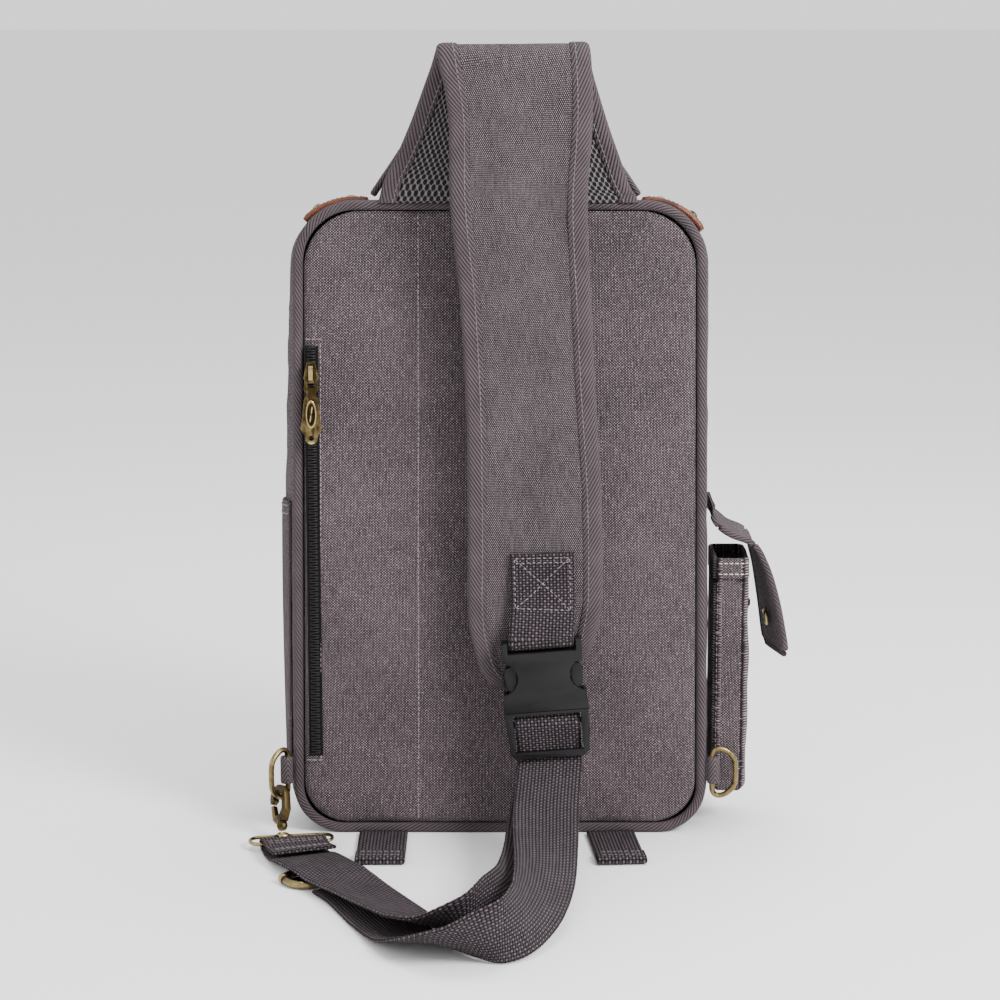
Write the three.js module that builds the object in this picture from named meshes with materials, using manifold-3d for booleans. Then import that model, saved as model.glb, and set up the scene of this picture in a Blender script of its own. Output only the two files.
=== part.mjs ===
// Canvas sling bag with one padded shoulder strap, built as separate sewn and metal pieces.
// Millimetres, +Z up. The bag stands on its base, back panel facing -Y, side pocket at +X.
// The origin is the middle of the flat base, on the surface that the bag stands on.
import * as THREE from 'three';
import { mergeVertices } from 'three/addons/utils/BufferGeometryUtils.js';
import Module from 'manifold-3d';

const wasm = await Module();
wasm.setup();

// ---------- driving dimensions ----------
const BAG_HEIGHT = 376.5;        // top of the gusset at the back seam
const PANEL_HALF = 113;          // half width of the back panel at its top
const BACK_FACE = -45;           // outer face of the back panel
const BACK_SEAM = -38.4;         // where the gusset starts
const FRONT_SEAM = 21.6;         // where the gusset ends
const PIPING_R = 2.9;            // piping cord radius
const FLARE = 0.035;             // how much wider the bag is at its base than at its top
const FRONT_SHRINK = 0.03;       // how much lower the front edge stands than the back edge
const SIDE_BULGE = 4.5;          // crown of the side gussets
const LEFT_FULLNESS = 0.9;       // how much more the side with no bellows pocket swells, at mid height
const CLOTH = 1.8;               // canvas with its backing
const GAP = 0.3;                 // clearance between touching pieces
const WEB_WIDTH = 38;            // sling webbing
const WEB = 2.2;                 // webbing thickness
const TOP_SLOPE = Math.atan((BAG_HEIGHT * FRONT_SHRINK) / (FRONT_SEAM - BACK_SEAM));
const UP = new THREE.Vector3(0, 0, 1);

const FINISH = {
  canvas: { color: 0x6e6468, roughness: 0.92, metalness: 0 },
  tape: { color: 0x5f575a, roughness: 0.9, metalness: 0 },
  webbing: { color: 0x5b5256, roughness: 0.88, metalness: 0 },
  mesh: { color: 0x77706f, roughness: 0.85, metalness: 0 },
  lining: { color: 0x2c2a2c, roughness: 0.9, metalness: 0 },
  foam: { color: 0xb9b4aa, roughness: 0.95, metalness: 0 },
  board: { color: 0x2f2f31, roughness: 0.7, metalness: 0 },
  zip: { color: 0x17171a, roughness: 0.6, metalness: 0 },
  brass: { color: 0xa8955f, roughness: 0.35, metalness: 1 },
  bronze: { color: 0x4a3e2c, roughness: 0.4, metalness: 1 },
  leather: { color: 0x8a4a26, roughness: 0.6, metalness: 0 },
  plastic: { color: 0x2a2a2b, roughness: 0.5, metalness: 0 },
};

const bag = new THREE.Group();

function addMesh(name, geometry, finish, parent = bag) {
  const mesh = new THREE.Mesh(geometry, new THREE.MeshStandardMaterial(FINISH[finish]));
  mesh.name = name;
  parent.add(mesh);
  return mesh;
}

// ---------- solid helpers ----------
function positionsOnly(geometry) {
  const plain = geometry.clone();
  plain.deleteAttribute('normal');
  plain.deleteAttribute('uv');
  return mergeVertices(plain, 1e-4);
}

function solid(geometry) {
  const merged = positionsOnly(geometry);
  const vertProperties = Float32Array.from(merged.attributes.position.array);
  const triVerts = Uint32Array.from(merged.index.array);
  return new wasm.Manifold(new wasm.Mesh({ numProp: 3, vertProperties, triVerts }));
}

function fromSolid(manifold) {
  const mesh = manifold.getMesh();
  const geometry = new THREE.BufferGeometry();
  geometry.setAttribute('position', new THREE.BufferAttribute(mesh.vertProperties, 3));
  geometry.setIndex(new THREE.BufferAttribute(mesh.triVerts, 1));
  return geometry;
}

function cut(geometry, ...tools) {
  return fromSolid(tools.reduce((body, tool) => body.subtract(solid(tool)), solid(geometry)));
}

function join(geometry, ...others) {
  return fromSolid(others.reduce((body, other) => body.add(solid(other)), solid(geometry)));
}

// Moves every vertex, then turns the faces round if the move turned the body inside out.
function reshape(geometry, move) {
  const place = geometry.attributes.position;
  const point = new THREE.Vector3();
  for (let i = 0; i < place.count; i += 1) {
    point.fromBufferAttribute(place, i);
    const moved = move(point);
    place.setXYZ(i, moved.x, moved.y, moved.z);
  }
  const corner = [new THREE.Vector3(), new THREE.Vector3(), new THREE.Vector3()];
  const index = geometry.index.array;
  let volume = 0;
  for (let i = 0; i < index.length; i += 3) {
    corner.forEach((c, k) => c.fromBufferAttribute(place, index[i + k]));
    volume += corner[0].dot(corner[1].clone().cross(corner[2]));
  }
  if (volume < 0) {
    for (let i = 0; i < index.length; i += 3) {
      [index[i], index[i + 1]] = [index[i + 1], index[i]];
    }
  }
  return geometry;
}

function block(width, depth, height, x, y, z) {
  return new THREE.BoxGeometry(width, depth, height).translate(x, y, z);
}

// A disc or pin along X, Y or Z.
function pin(radius, length, axis, x, y, z, sides = 16) {
  const geometry = new THREE.CylinderGeometry(radius, radius, length, sides);
  if (axis === 'x') geometry.rotateZ(Math.PI / 2);
  if (axis === 'z') geometry.rotateX(Math.PI / 2);
  return geometry.translate(x, y, z);
}

// An outline in X and Z, made solid between two Y planes.
function slab(shape, yLow, yHigh, curveSegments = 6) {
  const depth = yHigh - yLow;
  const geometry = new THREE.ExtrudeGeometry(shape, { depth, bevelEnabled: false, curveSegments });
  return geometry.rotateX(Math.PI / 2).translate(0, yHigh, 0);
}

// An outline in X and Y, made solid between two Z planes.
function plate(shape, zLow, zHigh, curveSegments = 6) {
  const depth = zHigh - zLow;
  const geometry = new THREE.ExtrudeGeometry(shape, { depth, bevelEnabled: false, curveSegments });
  return geometry.translate(0, 0, zLow);
}

function roundedRect(width, height, radius, x = 0, y = 0) {
  const w = width / 2 - radius;
  const h = height / 2 - radius;
  const shape = new THREE.Shape();
  shape.absarc(x + w, y + h, radius, 0, Math.PI / 2);
  shape.absarc(x - w, y + h, radius, Math.PI / 2, Math.PI);
  shape.absarc(x - w, y - h, radius, Math.PI, 1.5 * Math.PI);
  shape.absarc(x + w, y - h, radius, 1.5 * Math.PI, 2 * Math.PI);
  return shape;
}

// A wire bent into a closed flat loop: a torus carried onto any closed curve in its own plane.
function wireLoop(pointAt, normal, radius, steps, sides) {
  const side = new THREE.Vector3();
  return reshape(positionsOnly(new THREE.TorusGeometry(2, 1, sides, steps)), (p) => {
    const turn = Math.atan2(p.y, p.x) / (2 * Math.PI);
    const u = (turn + 1) % 1;
    const here = pointAt(u);
    const ahead = pointAt((u + 0.002) % 1).sub(pointAt((u + 0.998) % 1)).normalize();
    side.crossVectors(normal, ahead).normalize();
    const out = Math.hypot(p.x, p.y) - 2;
    return here.addScaledVector(side, out * radius).addScaledVector(normal, p.z * radius);
  });
}

// A flat band that follows keys {at, across, width}; offset lifts it along its own normal and
// shift slides it sideways as a share of its width.
function band(keys, { thickness, steps, offset = 0, shift = () => 0, widthOf = (w) => w }) {
  const route = new THREE.CatmullRomCurve3(keys.map((k) => new THREE.Vector3(...k.at)), false, 'centripetal');
  const across = new THREE.CatmullRomCurve3(keys.map((k) => new THREE.Vector3(...k.across)));
  const widths = new THREE.CatmullRomCurve3(keys.map((k) => new THREE.Vector3(k.width ?? WEB_WIDTH, 0, 0)));
  const box = positionsOnly(new THREE.BoxGeometry(1, 1, 1, 1, 1, steps));
  return reshape(box, (p) => {
    const t = Math.min(Math.max(p.z + 0.5, 0), 1);
    const here = route.getPoint(t);
    const along = route.getTangent(t);
    const side = across.getPoint(t);
    side.addScaledVector(along, -side.dot(along)).normalize();
    const normal = new THREE.Vector3().crossVectors(along, side);
    const width = widths.getPoint(t).x;
    here.addScaledVector(side, p.x * widthOf(width) + shift(width));
    return here.addScaledVector(normal, p.y * thickness + offset);
  });
}

// ---------- the bag body's outline ----------
// A rounded outline in X and Z, walked by distance from the middle of the base, first to +X.
function rim(half, bottom, top, lowRadius = 26, highRadius = 33) {
  const base = half - lowRadius;
  const lowArc = (Math.PI / 2) * lowRadius;
  const side = top - bottom - lowRadius - highRadius;
  const highArc = (Math.PI / 2) * highRadius;
  const crown = half - highRadius;
  const length = 2 * (base + lowArc + side + highArc + crown);
  function rightHalf(d) {
    if (d < base) return { x: d, z: bottom, nx: 0, nz: -1 };
    if (d < base + lowArc) {
      const angle = (d - base) / lowRadius;
      const nx = Math.sin(angle);
      const nz = -Math.cos(angle);
      return { x: base + lowRadius * nx, z: bottom + lowRadius + lowRadius * nz, nx, nz };
    }
    if (d < base + lowArc + side) return { x: half, z: bottom + lowRadius + d - base - lowArc, nx: 1, nz: 0 };
    if (d < base + lowArc + side + highArc) {
      const angle = (d - base - lowArc - side) / highRadius;
      const nx = Math.cos(angle);
      const nz = Math.sin(angle);
      return { x: crown + highRadius * nx, z: top - highRadius + highRadius * nz, nx, nz };
    }
    return { x: length / 2 - d, z: top, nx: 0, nz: 1 };
  }
  function at(distance) {
    const d = ((distance % length) + length) % length;
    if (d <= length / 2) return rightHalf(d);
    const mirror = rightHalf(length - d);
    return { x: -mirror.x, z: mirror.z, nx: -mirror.nx, nz: mirror.nz };
  }
  const rightAt = (z) => base + lowArc + z - bottom - lowRadius;
  const leftAt = (z) => length - rightAt(z);
  const topAt = (x) => length / 2 - x;
  function shape() {
    const outline = new THREE.Shape();
    outline.absarc(base, bottom + lowRadius, lowRadius, -Math.PI / 2, 0);
    outline.absarc(crown, top - highRadius, highRadius, 0, Math.PI / 2);
    outline.absarc(-crown, top - highRadius, highRadius, Math.PI / 2, Math.PI);
    outline.absarc(-base, bottom + lowRadius, lowRadius, Math.PI, 1.5 * Math.PI);
    return outline;
  }
  return { length, base, lowArc, highArc, side, at, rightAt, leftAt, topAt, shape };
}

// The soft body flares to its base and its front edge stands a little lower and narrower.
function settle(p) {
  const forward = (p.y - BACK_SEAM) / (FRONT_SEAM - BACK_SEAM);
  p.x *= (1 + FLARE * (1 - p.z / BAG_HEIGHT)) * (1 - 0.6 * FRONT_SHRINK * forward);
  p.z *= 1 - FRONT_SHRINK * forward;
  return p;
}

const gussetRim = rim(PANEL_HALF + 5, CLOTH / 2, BAG_HEIGHT);
const pipingRim = rim(PANEL_HALF + 3.3, PIPING_R + 0.1, BAG_HEIGHT - 1.8);
const panelRim = rim(PANEL_HALF, 2 * PIPING_R + 0.5, BAG_HEIGHT - 5.1);
const liningRim = rim(PANEL_HALF - 1, 6.4, BAG_HEIGHT - 8);

// A point on the gusset, lifted off its middle surface.
function onGusset(distance, y, lift) {
  const r = gussetRim.at(distance);
  const share = (y - BACK_SEAM) / (FRONT_SEAM - BACK_SEAM);
  const fullness = r.nx < 0 ? LEFT_FULLNESS * Math.sin((Math.PI * r.z) / BAG_HEIGHT) : 0;
  const crown = SIDE_BULGE * (1 + fullness) * r.nx * r.nx * Math.sin(Math.PI * Math.min(Math.max(share, 0), 1));
  const out = lift + crown;
  return settle(new THREE.Vector3(r.x + r.nx * out, y, r.z + r.nz * out));
}

// Distances where every layer on the gusset has an edge line, so that their facets stay parallel.
function gussetKnots(from, to) {
  const { length, base, lowArc, highArc, side } = gussetRim;
  const firstHalf = [];
  for (let i = 0; i <= 6; i += 1) firstHalf.push(base + (i / 6) * lowArc);
  for (let i = 1; i < 4; i += 1) firstHalf.push(base + lowArc + (i / 4) * side);
  for (let i = 0; i <= 8; i += 1) firstHalf.push(base + lowArc + side + (i / 8) * highArc);
  const all = [...firstHalf, ...firstHalf.map((d) => length - d).reverse()];
  return [from, ...all.filter((d) => d > from + 1 && d < to - 1), to];
}

// A layer on the gusset between two distances, two Y values and two lifts.
function gussetLayer(from, to, yLow, yHigh, liftLow, liftHigh, rows = 4) {
  const knots = gussetKnots(from, to);
  const steps = knots.length - 1;
  const box = positionsOnly(new THREE.BoxGeometry(1, 1, 1, steps, rows, 1));
  return reshape(box, (p) => {
    const distance = knots[Math.round((p.x + 0.5) * steps)];
    const y = yLow + (p.y + 0.5) * (yHigh - yLow);
    return onGusset(distance, y, liftLow + (p.z + 0.5) * (liftHigh - liftLow));
  });
}

function panel(outline, yLow, yHigh) {
  return reshape(positionsOnly(slab(outline.shape(), yLow, yHigh)), settle);
}

function piping(y) {
  const around = (u) => {
    const r = pipingRim.at(u * pipingRim.length);
    return settle(new THREE.Vector3(r.x, y, r.z));
  };
  return wireLoop(around, new THREE.Vector3(0, 1, 0), PIPING_R, 72, 6);
}

function buildBody() {
  addMesh('back_panel', panel(panelRim, BACK_FACE, BACK_FACE + 1.6), 'canvas');
  addMesh('back_foam', panel(rim(PANEL_HALF - 2, 9, BAG_HEIGHT - 8), BACK_FACE + 1.9, BACK_SEAM - GAP), 'foam');
  addMesh('back_piping', piping(BACK_SEAM - GAP - PIPING_R), 'tape');
  addMesh('front_piping', piping(FRONT_SEAM + GAP + PIPING_R), 'tape');
  addMesh('front_panel', panel(panelRim, FRONT_SEAM + 5.2, FRONT_SEAM + 7), 'canvas');

  const cornerLow = gussetRim.base;
  const cornerHigh = gussetRim.topAt(gussetRim.base - 20);
  const end = gussetRim.length;
  const half = CLOTH / 2;
  const layer = (from, to) => gussetLayer(from, to, BACK_SEAM, FRONT_SEAM, -half, half);
  addMesh('gusset_right', layer(cornerLow + GAP, cornerHigh - GAP), 'canvas');
  addMesh('gusset_left', layer(end - cornerHigh + GAP, end - cornerLow - GAP), 'canvas');
  addMesh('gusset_top', layer(cornerHigh, end - cornerHigh), 'canvas');
  addMesh('gusset_bottom', layer(-cornerLow, cornerLow), 'canvas');

  addMesh('base_board', block(168, 50, 3, 0, -9, 3.8), 'board');
  const tub = slab(liningRim.shape(), BACK_SEAM, FRONT_SEAM + 4.8);
  const room = slab(rim(PANEL_HALF - 2.2, 7.6, BAG_HEIGHT + 20).shape(), BACK_SEAM + 1.2, FRONT_SEAM + 3.6);
  addMesh('lining', reshape(cut(tub, room), settle), 'lining');
}

// ---------- zips ----------
// Local frame: +X along the zip, +Z out of the cloth. The slider stands at x = 0.
function zipFrame(at, alongZip, outward) {
  const group = new THREE.Group();
  const x = new THREE.Vector3(...alongZip);
  const z = new THREE.Vector3(...outward);
  const y = new THREE.Vector3().crossVectors(z, x);
  group.quaternion.setFromRotationMatrix(new THREE.Matrix4().makeBasis(x, y, z));
  group.position.set(...at);
  bag.add(group);
  return group;
}

function buildStraightTape(name, group, from, to) {
  const middle = (from + to) / 2;
  addMesh(`${name}_tape`, block(to - from, 11, 0.8, middle, 0, 0.4), 'zip', group);
  const section = new THREE.Shape();
  section.absarc(0, 0, 1.9, 0, Math.PI);
  const depth = to - from - 4;
  const coil = positionsOnly(new THREE.ExtrudeGeometry(section, { depth, bevelEnabled: false, curveSegments: 5 }));
  const laid = reshape(coil, (p) => new THREE.Vector3(p.z + from + 2, p.x, p.y + 1.1));
  addMesh(`${name}_coil`, laid, 'zip', group);
}

function buildSlider(name, group) {
  const top = new THREE.Shape();
  top.moveTo(6, -2.4);
  top.lineTo(-3, -4.4);
  top.lineTo(-6, -3);
  top.lineTo(-6, 3);
  top.lineTo(-3, 4.4);
  top.lineTo(6, 2.4);
  const crown = plate(top, 3.4, 5);
  const bail = slab(roundedRect(9, 4.4, 1.6, 0, 6.6), -1.2, 1.2, 3);
  const eye = slab(roundedRect(5.4, 2, 0.9, 0, 6.7), -2, 2, 3);
  addMesh(`${name}_slider`, cut(join(crown, bail), eye), 'brass', group);

  const body = new THREE.Shape();
  body.moveTo(-4, -3.6);
  body.lineTo(2, -3);
  body.lineTo(2, 3);
  body.lineTo(-4, 3.6);
  body.lineTo(-10, 4.1);
  body.lineTo(-12, 2.6);
  body.lineTo(-16, 4.2);
  body.lineTo(-27, 5.3);
  body.lineTo(-32, 6.2);
  body.lineTo(-36.5, 3.9);
  body.absarc(-38, 0, 3.6, Math.PI / 2, 1.5 * Math.PI);
  body.lineTo(-36.5, -3.9);
  body.lineTo(-32, -6.2);
  body.lineTo(-27, -5.3);
  body.lineTo(-16, -4.2);
  body.lineTo(-12, -2.6);
  body.lineTo(-10, -4.1);
  const window = new THREE.Path();
  window.moveTo(0.7, -1.7);
  window.lineTo(0.7, 1.7);
  window.lineTo(-8.4, 1.9);
  window.lineTo(-8.4, -1.9);
  const hole = new THREE.Path();
  hole.absarc(-38, 0, 1.6, 0, 2 * Math.PI);
  body.holes.push(window, hole);
  addMesh(`${name}_pull`, plate(body, 6, 7.4, 4), 'brass', group);
}

function buildZips() {
  const back = zipFrame([-109.5, BACK_FACE - GAP, 279], [0, 0, 1], [0, -1, 0]);
  buildStraightTape('back_zip', back, -230.5, 15);
  buildSlider('back_zip', back);

  const from = gussetRim.rightAt(215);
  const to = gussetRim.leftAt(215);
  addMesh('top_zip_tape', gussetLayer(from, to, 2, 13, 0.9 + GAP, 1.9 + GAP, 1), 'zip');
  addMesh('top_zip_coil', gussetLayer(from + 2, to - 2, 5.9, 9.1, 2.2 + GAP, 3.6 + GAP, 1), 'zip');
  const seat = onGusset(gussetRim.topAt(62), 7.5, 0.9 + GAP + 1);
  const outward = [0, Math.sin(TOP_SLOPE), Math.cos(TOP_SLOPE)];
  buildSlider('top_zip', zipFrame(seat.toArray(), [1, 0, 0], outward));

  const front = zipFrame([72, 45.2, 172], [1, 0, 0], [0, 1, 0]);
  buildStraightTape('front_zip', front, -152, 8);
  buildSlider('front_zip', front);
}

// ---------- front pocket ----------
function buildFrontPocket() {
  const yLow = FRONT_SEAM + 7.3;
  const outer = slab(roundedRect(184, 176, 24, 0, 102), yLow, 44.9);
  const inner = slab(roundedRect(180.8, 172.8, 22.4, 0, 102), yLow - 1, 43.3);
  addMesh('front_pocket', cut(outer, inner), 'canvas');
}

// ---------- side pocket, its flap and snap; slip pocket ----------
function buildSidePockets() {
  const inside = 127;
  const outside = 148.5;
  const width = outside - inside;
  const middle = (inside + outside) / 2;
  const outer = plate(roundedRect(width, 46, 5, middle, -7), 21, 165);
  const hollow = plate(roundedRect(width - 2.8, 42.4, 4, middle - 0.4, -7), 22.8, 170);
  addMesh('side_pocket', cut(outer, hollow), 'canvas');

  const flapRoute = [[126.6, 197], [126.8, 189], [136, 180], [149.5, 173.5], [156, 160], [161.5, 138], [167, 105]];
  const flapTwist = [0, 0, 0, -0.04, -0.1, -0.16, -0.2];
  const keys = flapRoute.map(([x, z], i) => ({ at: [x, -7, z], across: [flapTwist[i], 1, 0], width: 48 }));
  addMesh('side_flap', band(keys, { thickness: 2.2, steps: 14 }), 'canvas');
  addMesh('snap_stud', pin(5, 2.2, 'x', outside + GAP + 1.1, -7, 133.5), 'brass');
  const socket = pin(5, 2.2, 'x', 0, 0, 0);
  const cap = pin(5.6, 1.2, 'x', 0, 0, 0);
  const tilt = -0.22;
  addMesh('snap_socket', socket.rotateY(tilt).translate(160.5, -7, 124.4), 'brass');
  addMesh('snap_cap', cap.rotateY(tilt).translate(166.8, -7, 125.6), 'brass');

  const low = gussetRim.leftAt(30);
  const high = gussetRim.leftAt(201);
  addMesh('slip_pocket', gussetLayer(Math.min(high, low), Math.max(high, low), -33, 0, 0.9 + GAP, 2.6 + GAP), 'canvas');
}

// ---------- haul handle, leather patches and rivets ----------
const PATCH_TOP = 4.6;           // the hide's outer face above the gusset, over the handle's end

function buildTopHandle() {
  const patchY = [-31, -1];
  const sides = [['left', -77, -114], ['right', 83, 120]];
  const patchLift = 0.9 + GAP;
  for (const [side, near, far] of sides) {
    const from = gussetRim.topAt(near);
    const to = gussetRim.topAt(far);
    const low = Math.min(from, to);
    const high = Math.max(from, to);
    addMesh(`leather_patch_${side}`, gussetLayer(low, high, ...patchY, patchLift, PATCH_TOP), 'leather');
    [0.28, 0.76].forEach((share, i) => {
      const distance = from + share * (to - from);
      const seat = onGusset(distance, -16, PATCH_TOP + GAP + 0.6);
      const outward = onGusset(distance, -16, 6).sub(seat).normalize();
      const head = new THREE.LatheGeometry([
        new THREE.Vector2(0, 0), new THREE.Vector2(4.2, 0), new THREE.Vector2(4.2, 0.9),
        new THREE.Vector2(2.6, 2.2), new THREE.Vector2(0, 2.6),
      ], 12);
      const rivet = addMesh(`rivet_${side}_${i + 1}`, reshape(positionsOnly(head), (p) => p), 'brass');
      rivet.position.copy(seat);
      rivet.quaternion.setFromUnitVectors(new THREE.Vector3(0, 1, 0), outward);
    });
  }
  const arch = [[-74, 379.8], [-65, 393], [-47, 417], [-24, 431], [3.5, 435], [31, 431], [54, 417], [71.5, 393], [80.5, 379.8]];
  const keys = arch.map(([x, z]) => ({ at: [x, -16, z], across: [0, 1, 0], width: 25 }));
  addMesh('haul_handle', band(keys, { thickness: 3.4, steps: 24 }), 'webbing');
}

// ---------- padded shoulder strap ----------
const STRAP_KEYS = [
  { at: [4.5, -42, 379.6], across: [1, 0, 0], width: 149 },
  { at: [4.5, -42, 384], across: [1, 0, 0], width: 145 },
  { at: [5, -43, 397], across: [1, 0, 0], width: 133 },
  { at: [5.7, -46, 422], across: [1, 0, 0], width: 113 },
  { at: [6.4, -49.5, 448], across: [1, 0, 0], width: 95 },
  { at: [6.8, -54.5, 460.5], across: [1, 0, 0], width: 87 },
  { at: [7.4, -62.5, 463], across: [1, 0, 0], width: 86 },
  { at: [8.6, -70, 459], across: [1, 0, 0], width: 85 },
  { at: [10.4, -74, 445], across: [1, 0, 0], width: 83 },
  { at: [11.6, -74, 426], across: [1, 0, 0], width: 81 },
  { at: [10.6, -72.5, 381], across: [1, 0, 0], width: 78 },
  { at: [14.5, -69, 325], across: [1, 0, 0], width: 75 },
  { at: [17.6, -66, 268], across: [1, 0, 0], width: 75 },
  { at: [20, -64, 210], across: [1, 0, 0], width: 78 },
  { at: [20.4, -63, 151], across: [1, 0, 0], width: 79 },
  { at: [19.4, -62.7, 129], across: [1, 0, 0], width: 75 },
  { at: [19.6, -62.5, 109], across: [1, 0, 0], width: 63 },
  { at: [22, -62.4, 99], across: [1, 0, 0], width: 42 },
];
const BINDING = 5;
const STRAP_STEPS = 3 * (STRAP_KEYS.length - 1);

function buildStrap() {
  const core = (w) => w - 2 * BINDING - 2 * GAP;
  const layer = (thickness, offset) => band(STRAP_KEYS, { thickness, offset, steps: STRAP_STEPS, widthOf: core });
  addMesh('strap_canvas', layer(1.6, 3.4), 'canvas');
  addMesh('strap_foam', layer(4.4, 0), 'foam');
  addMesh('strap_mesh', layer(1.4, -3.3), 'mesh');
  const edge = (sign) => band(STRAP_KEYS, {
    thickness: 7.6, steps: STRAP_STEPS, widthOf: () => BINDING, shift: (w) => sign * (w - BINDING) / 2,
  });
  addMesh('strap_binding_left', edge(-1), 'tape');
  addMesh('strap_binding_right', edge(1), 'tape');
}

// ---------- side-release buckle ----------
const BUCKLE_AT = new THREE.Vector3(27, -75.4, 85);
const BUCKLE_LEAN = THREE.MathUtils.degToRad(-4.5);
const buckle = new THREE.Group();
buckle.position.copy(BUCKLE_AT);
buckle.rotation.y = BUCKLE_LEAN;

function buildBuckle() {
  bag.add(buckle);
  const shell = new THREE.Shape();
  shell.moveTo(-25, 0);
  shell.lineTo(25, 0);
  shell.lineTo(24, 12);
  shell.lineTo(22.6, 24);
  shell.lineTo(23.4, 35);
  shell.lineTo(23.4, 41);
  shell.lineTo(19.6, 42);
  shell.lineTo(-19.6, 42);
  shell.lineTo(-23.4, 41);
  shell.lineTo(-23.4, 35);
  shell.lineTo(-22.6, 24);
  shell.lineTo(-24, 12);
  const cavity = block(41.4, 6.4, 30, 0, 0, 14);
  const mouth = block(44.4, 6.4, 13, 0, 0, 5.5);
  const windows = [-1, 1].map((side) => pin(9.6, 20, 'y', side * 24.6, 0, 20.5, 20));
  const webSlot = block(39.8, 20, 4.4, 0, 0, 37.2);
  const barFront = block(39.8, 5, 4, 0, -3.9, 40.6);
  const barBack = block(39.8, 5, 4, 0, 3.9, 40.6);
  const body = cut(slab(shell, -5.5, 5.5), cavity, mouth, ...windows, webSlot, barFront, barBack);
  addMesh('buckle_socket', body, 'plastic', buckle);

  const frameShape = new THREE.Shape();
  frameShape.moveTo(-24.6, -0.3);
  frameShape.lineTo(24.6, -0.3);
  frameShape.lineTo(23.6, -25);
  frameShape.lineTo(20.6, -28);
  frameShape.lineTo(-19.6, -28);
  frameShape.lineTo(-22.6, -25);
  const slot = block(39.8, 20, 4.6, 0, 0, -4.5);
  const opening = block(39.8, 20, 14.9, 0, 0, -16.75);
  const barReliefs = [-1, 1].map((side) => block(39.8, 8, 3.4, 0, side * 5.4, -7.9));
  const lowBarRelief = block(39.8, 8.4, 5, 0, 2.4, -26.6);
  const guide = block(9, 3.6, 22.6, 0, 0, 10.9);
  const frame = cut(slab(frameShape, -5.2, 5.2), slot, opening, ...barReliefs, lowBarRelief);
  addMesh('buckle_frame', join(frame, guide), 'plastic', buckle);

  for (const side of [-1, 1]) {
    const prong = new THREE.Shape();
    const x = (value) => side * value;
    prong.moveTo(x(14.6), 0.2);
    prong.lineTo(x(18), 0.2);
    prong.lineTo(x(19.2), 11);
    prong.lineTo(x(20.4), 12.4);
    prong.lineTo(x(22), 14);
    prong.lineTo(x(23), 17.5);
    prong.lineTo(x(23), 23);
    prong.lineTo(x(21.6), 26.4);
    prong.lineTo(x(17.4), 27.6);
    prong.lineTo(x(15.6), 24);
    prong.lineTo(x(15.4), 12);
    const name = side < 0 ? 'buckle_prong_left' : 'buckle_prong_right';
    addMesh(name, reshape(positionsOnly(slab(prong, -2.7, 2.7)), (p) => p), 'plastic', buckle);
  }
}

// ---------- webbing ----------
const ALONG_X = [1, 0, 0];
const TILTED = [1, 0, 0.08];
const TAB_KEYS = [
  { at: [24.2, -68.9, 176], across: ALONG_X },
  { at: [24.6, -69.2, 160], across: ALONG_X },
  { at: [24.9, -71.4, 146], across: TILTED },
  { at: [24.1, -77.4, 132.4], across: TILTED },
  { at: [23.8, -79.3, 127.4], across: TILTED },
  { at: [24, -79.2, 124.4], across: TILTED },
  { at: [24.1, -75.4, 121.9], across: TILTED },
  { at: [24, -71.6, 124.4], across: TILTED },
  { at: [23.7, -71.2, 128], across: TILTED },
  { at: [23.3, -71, 134], across: TILTED },
];

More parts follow.
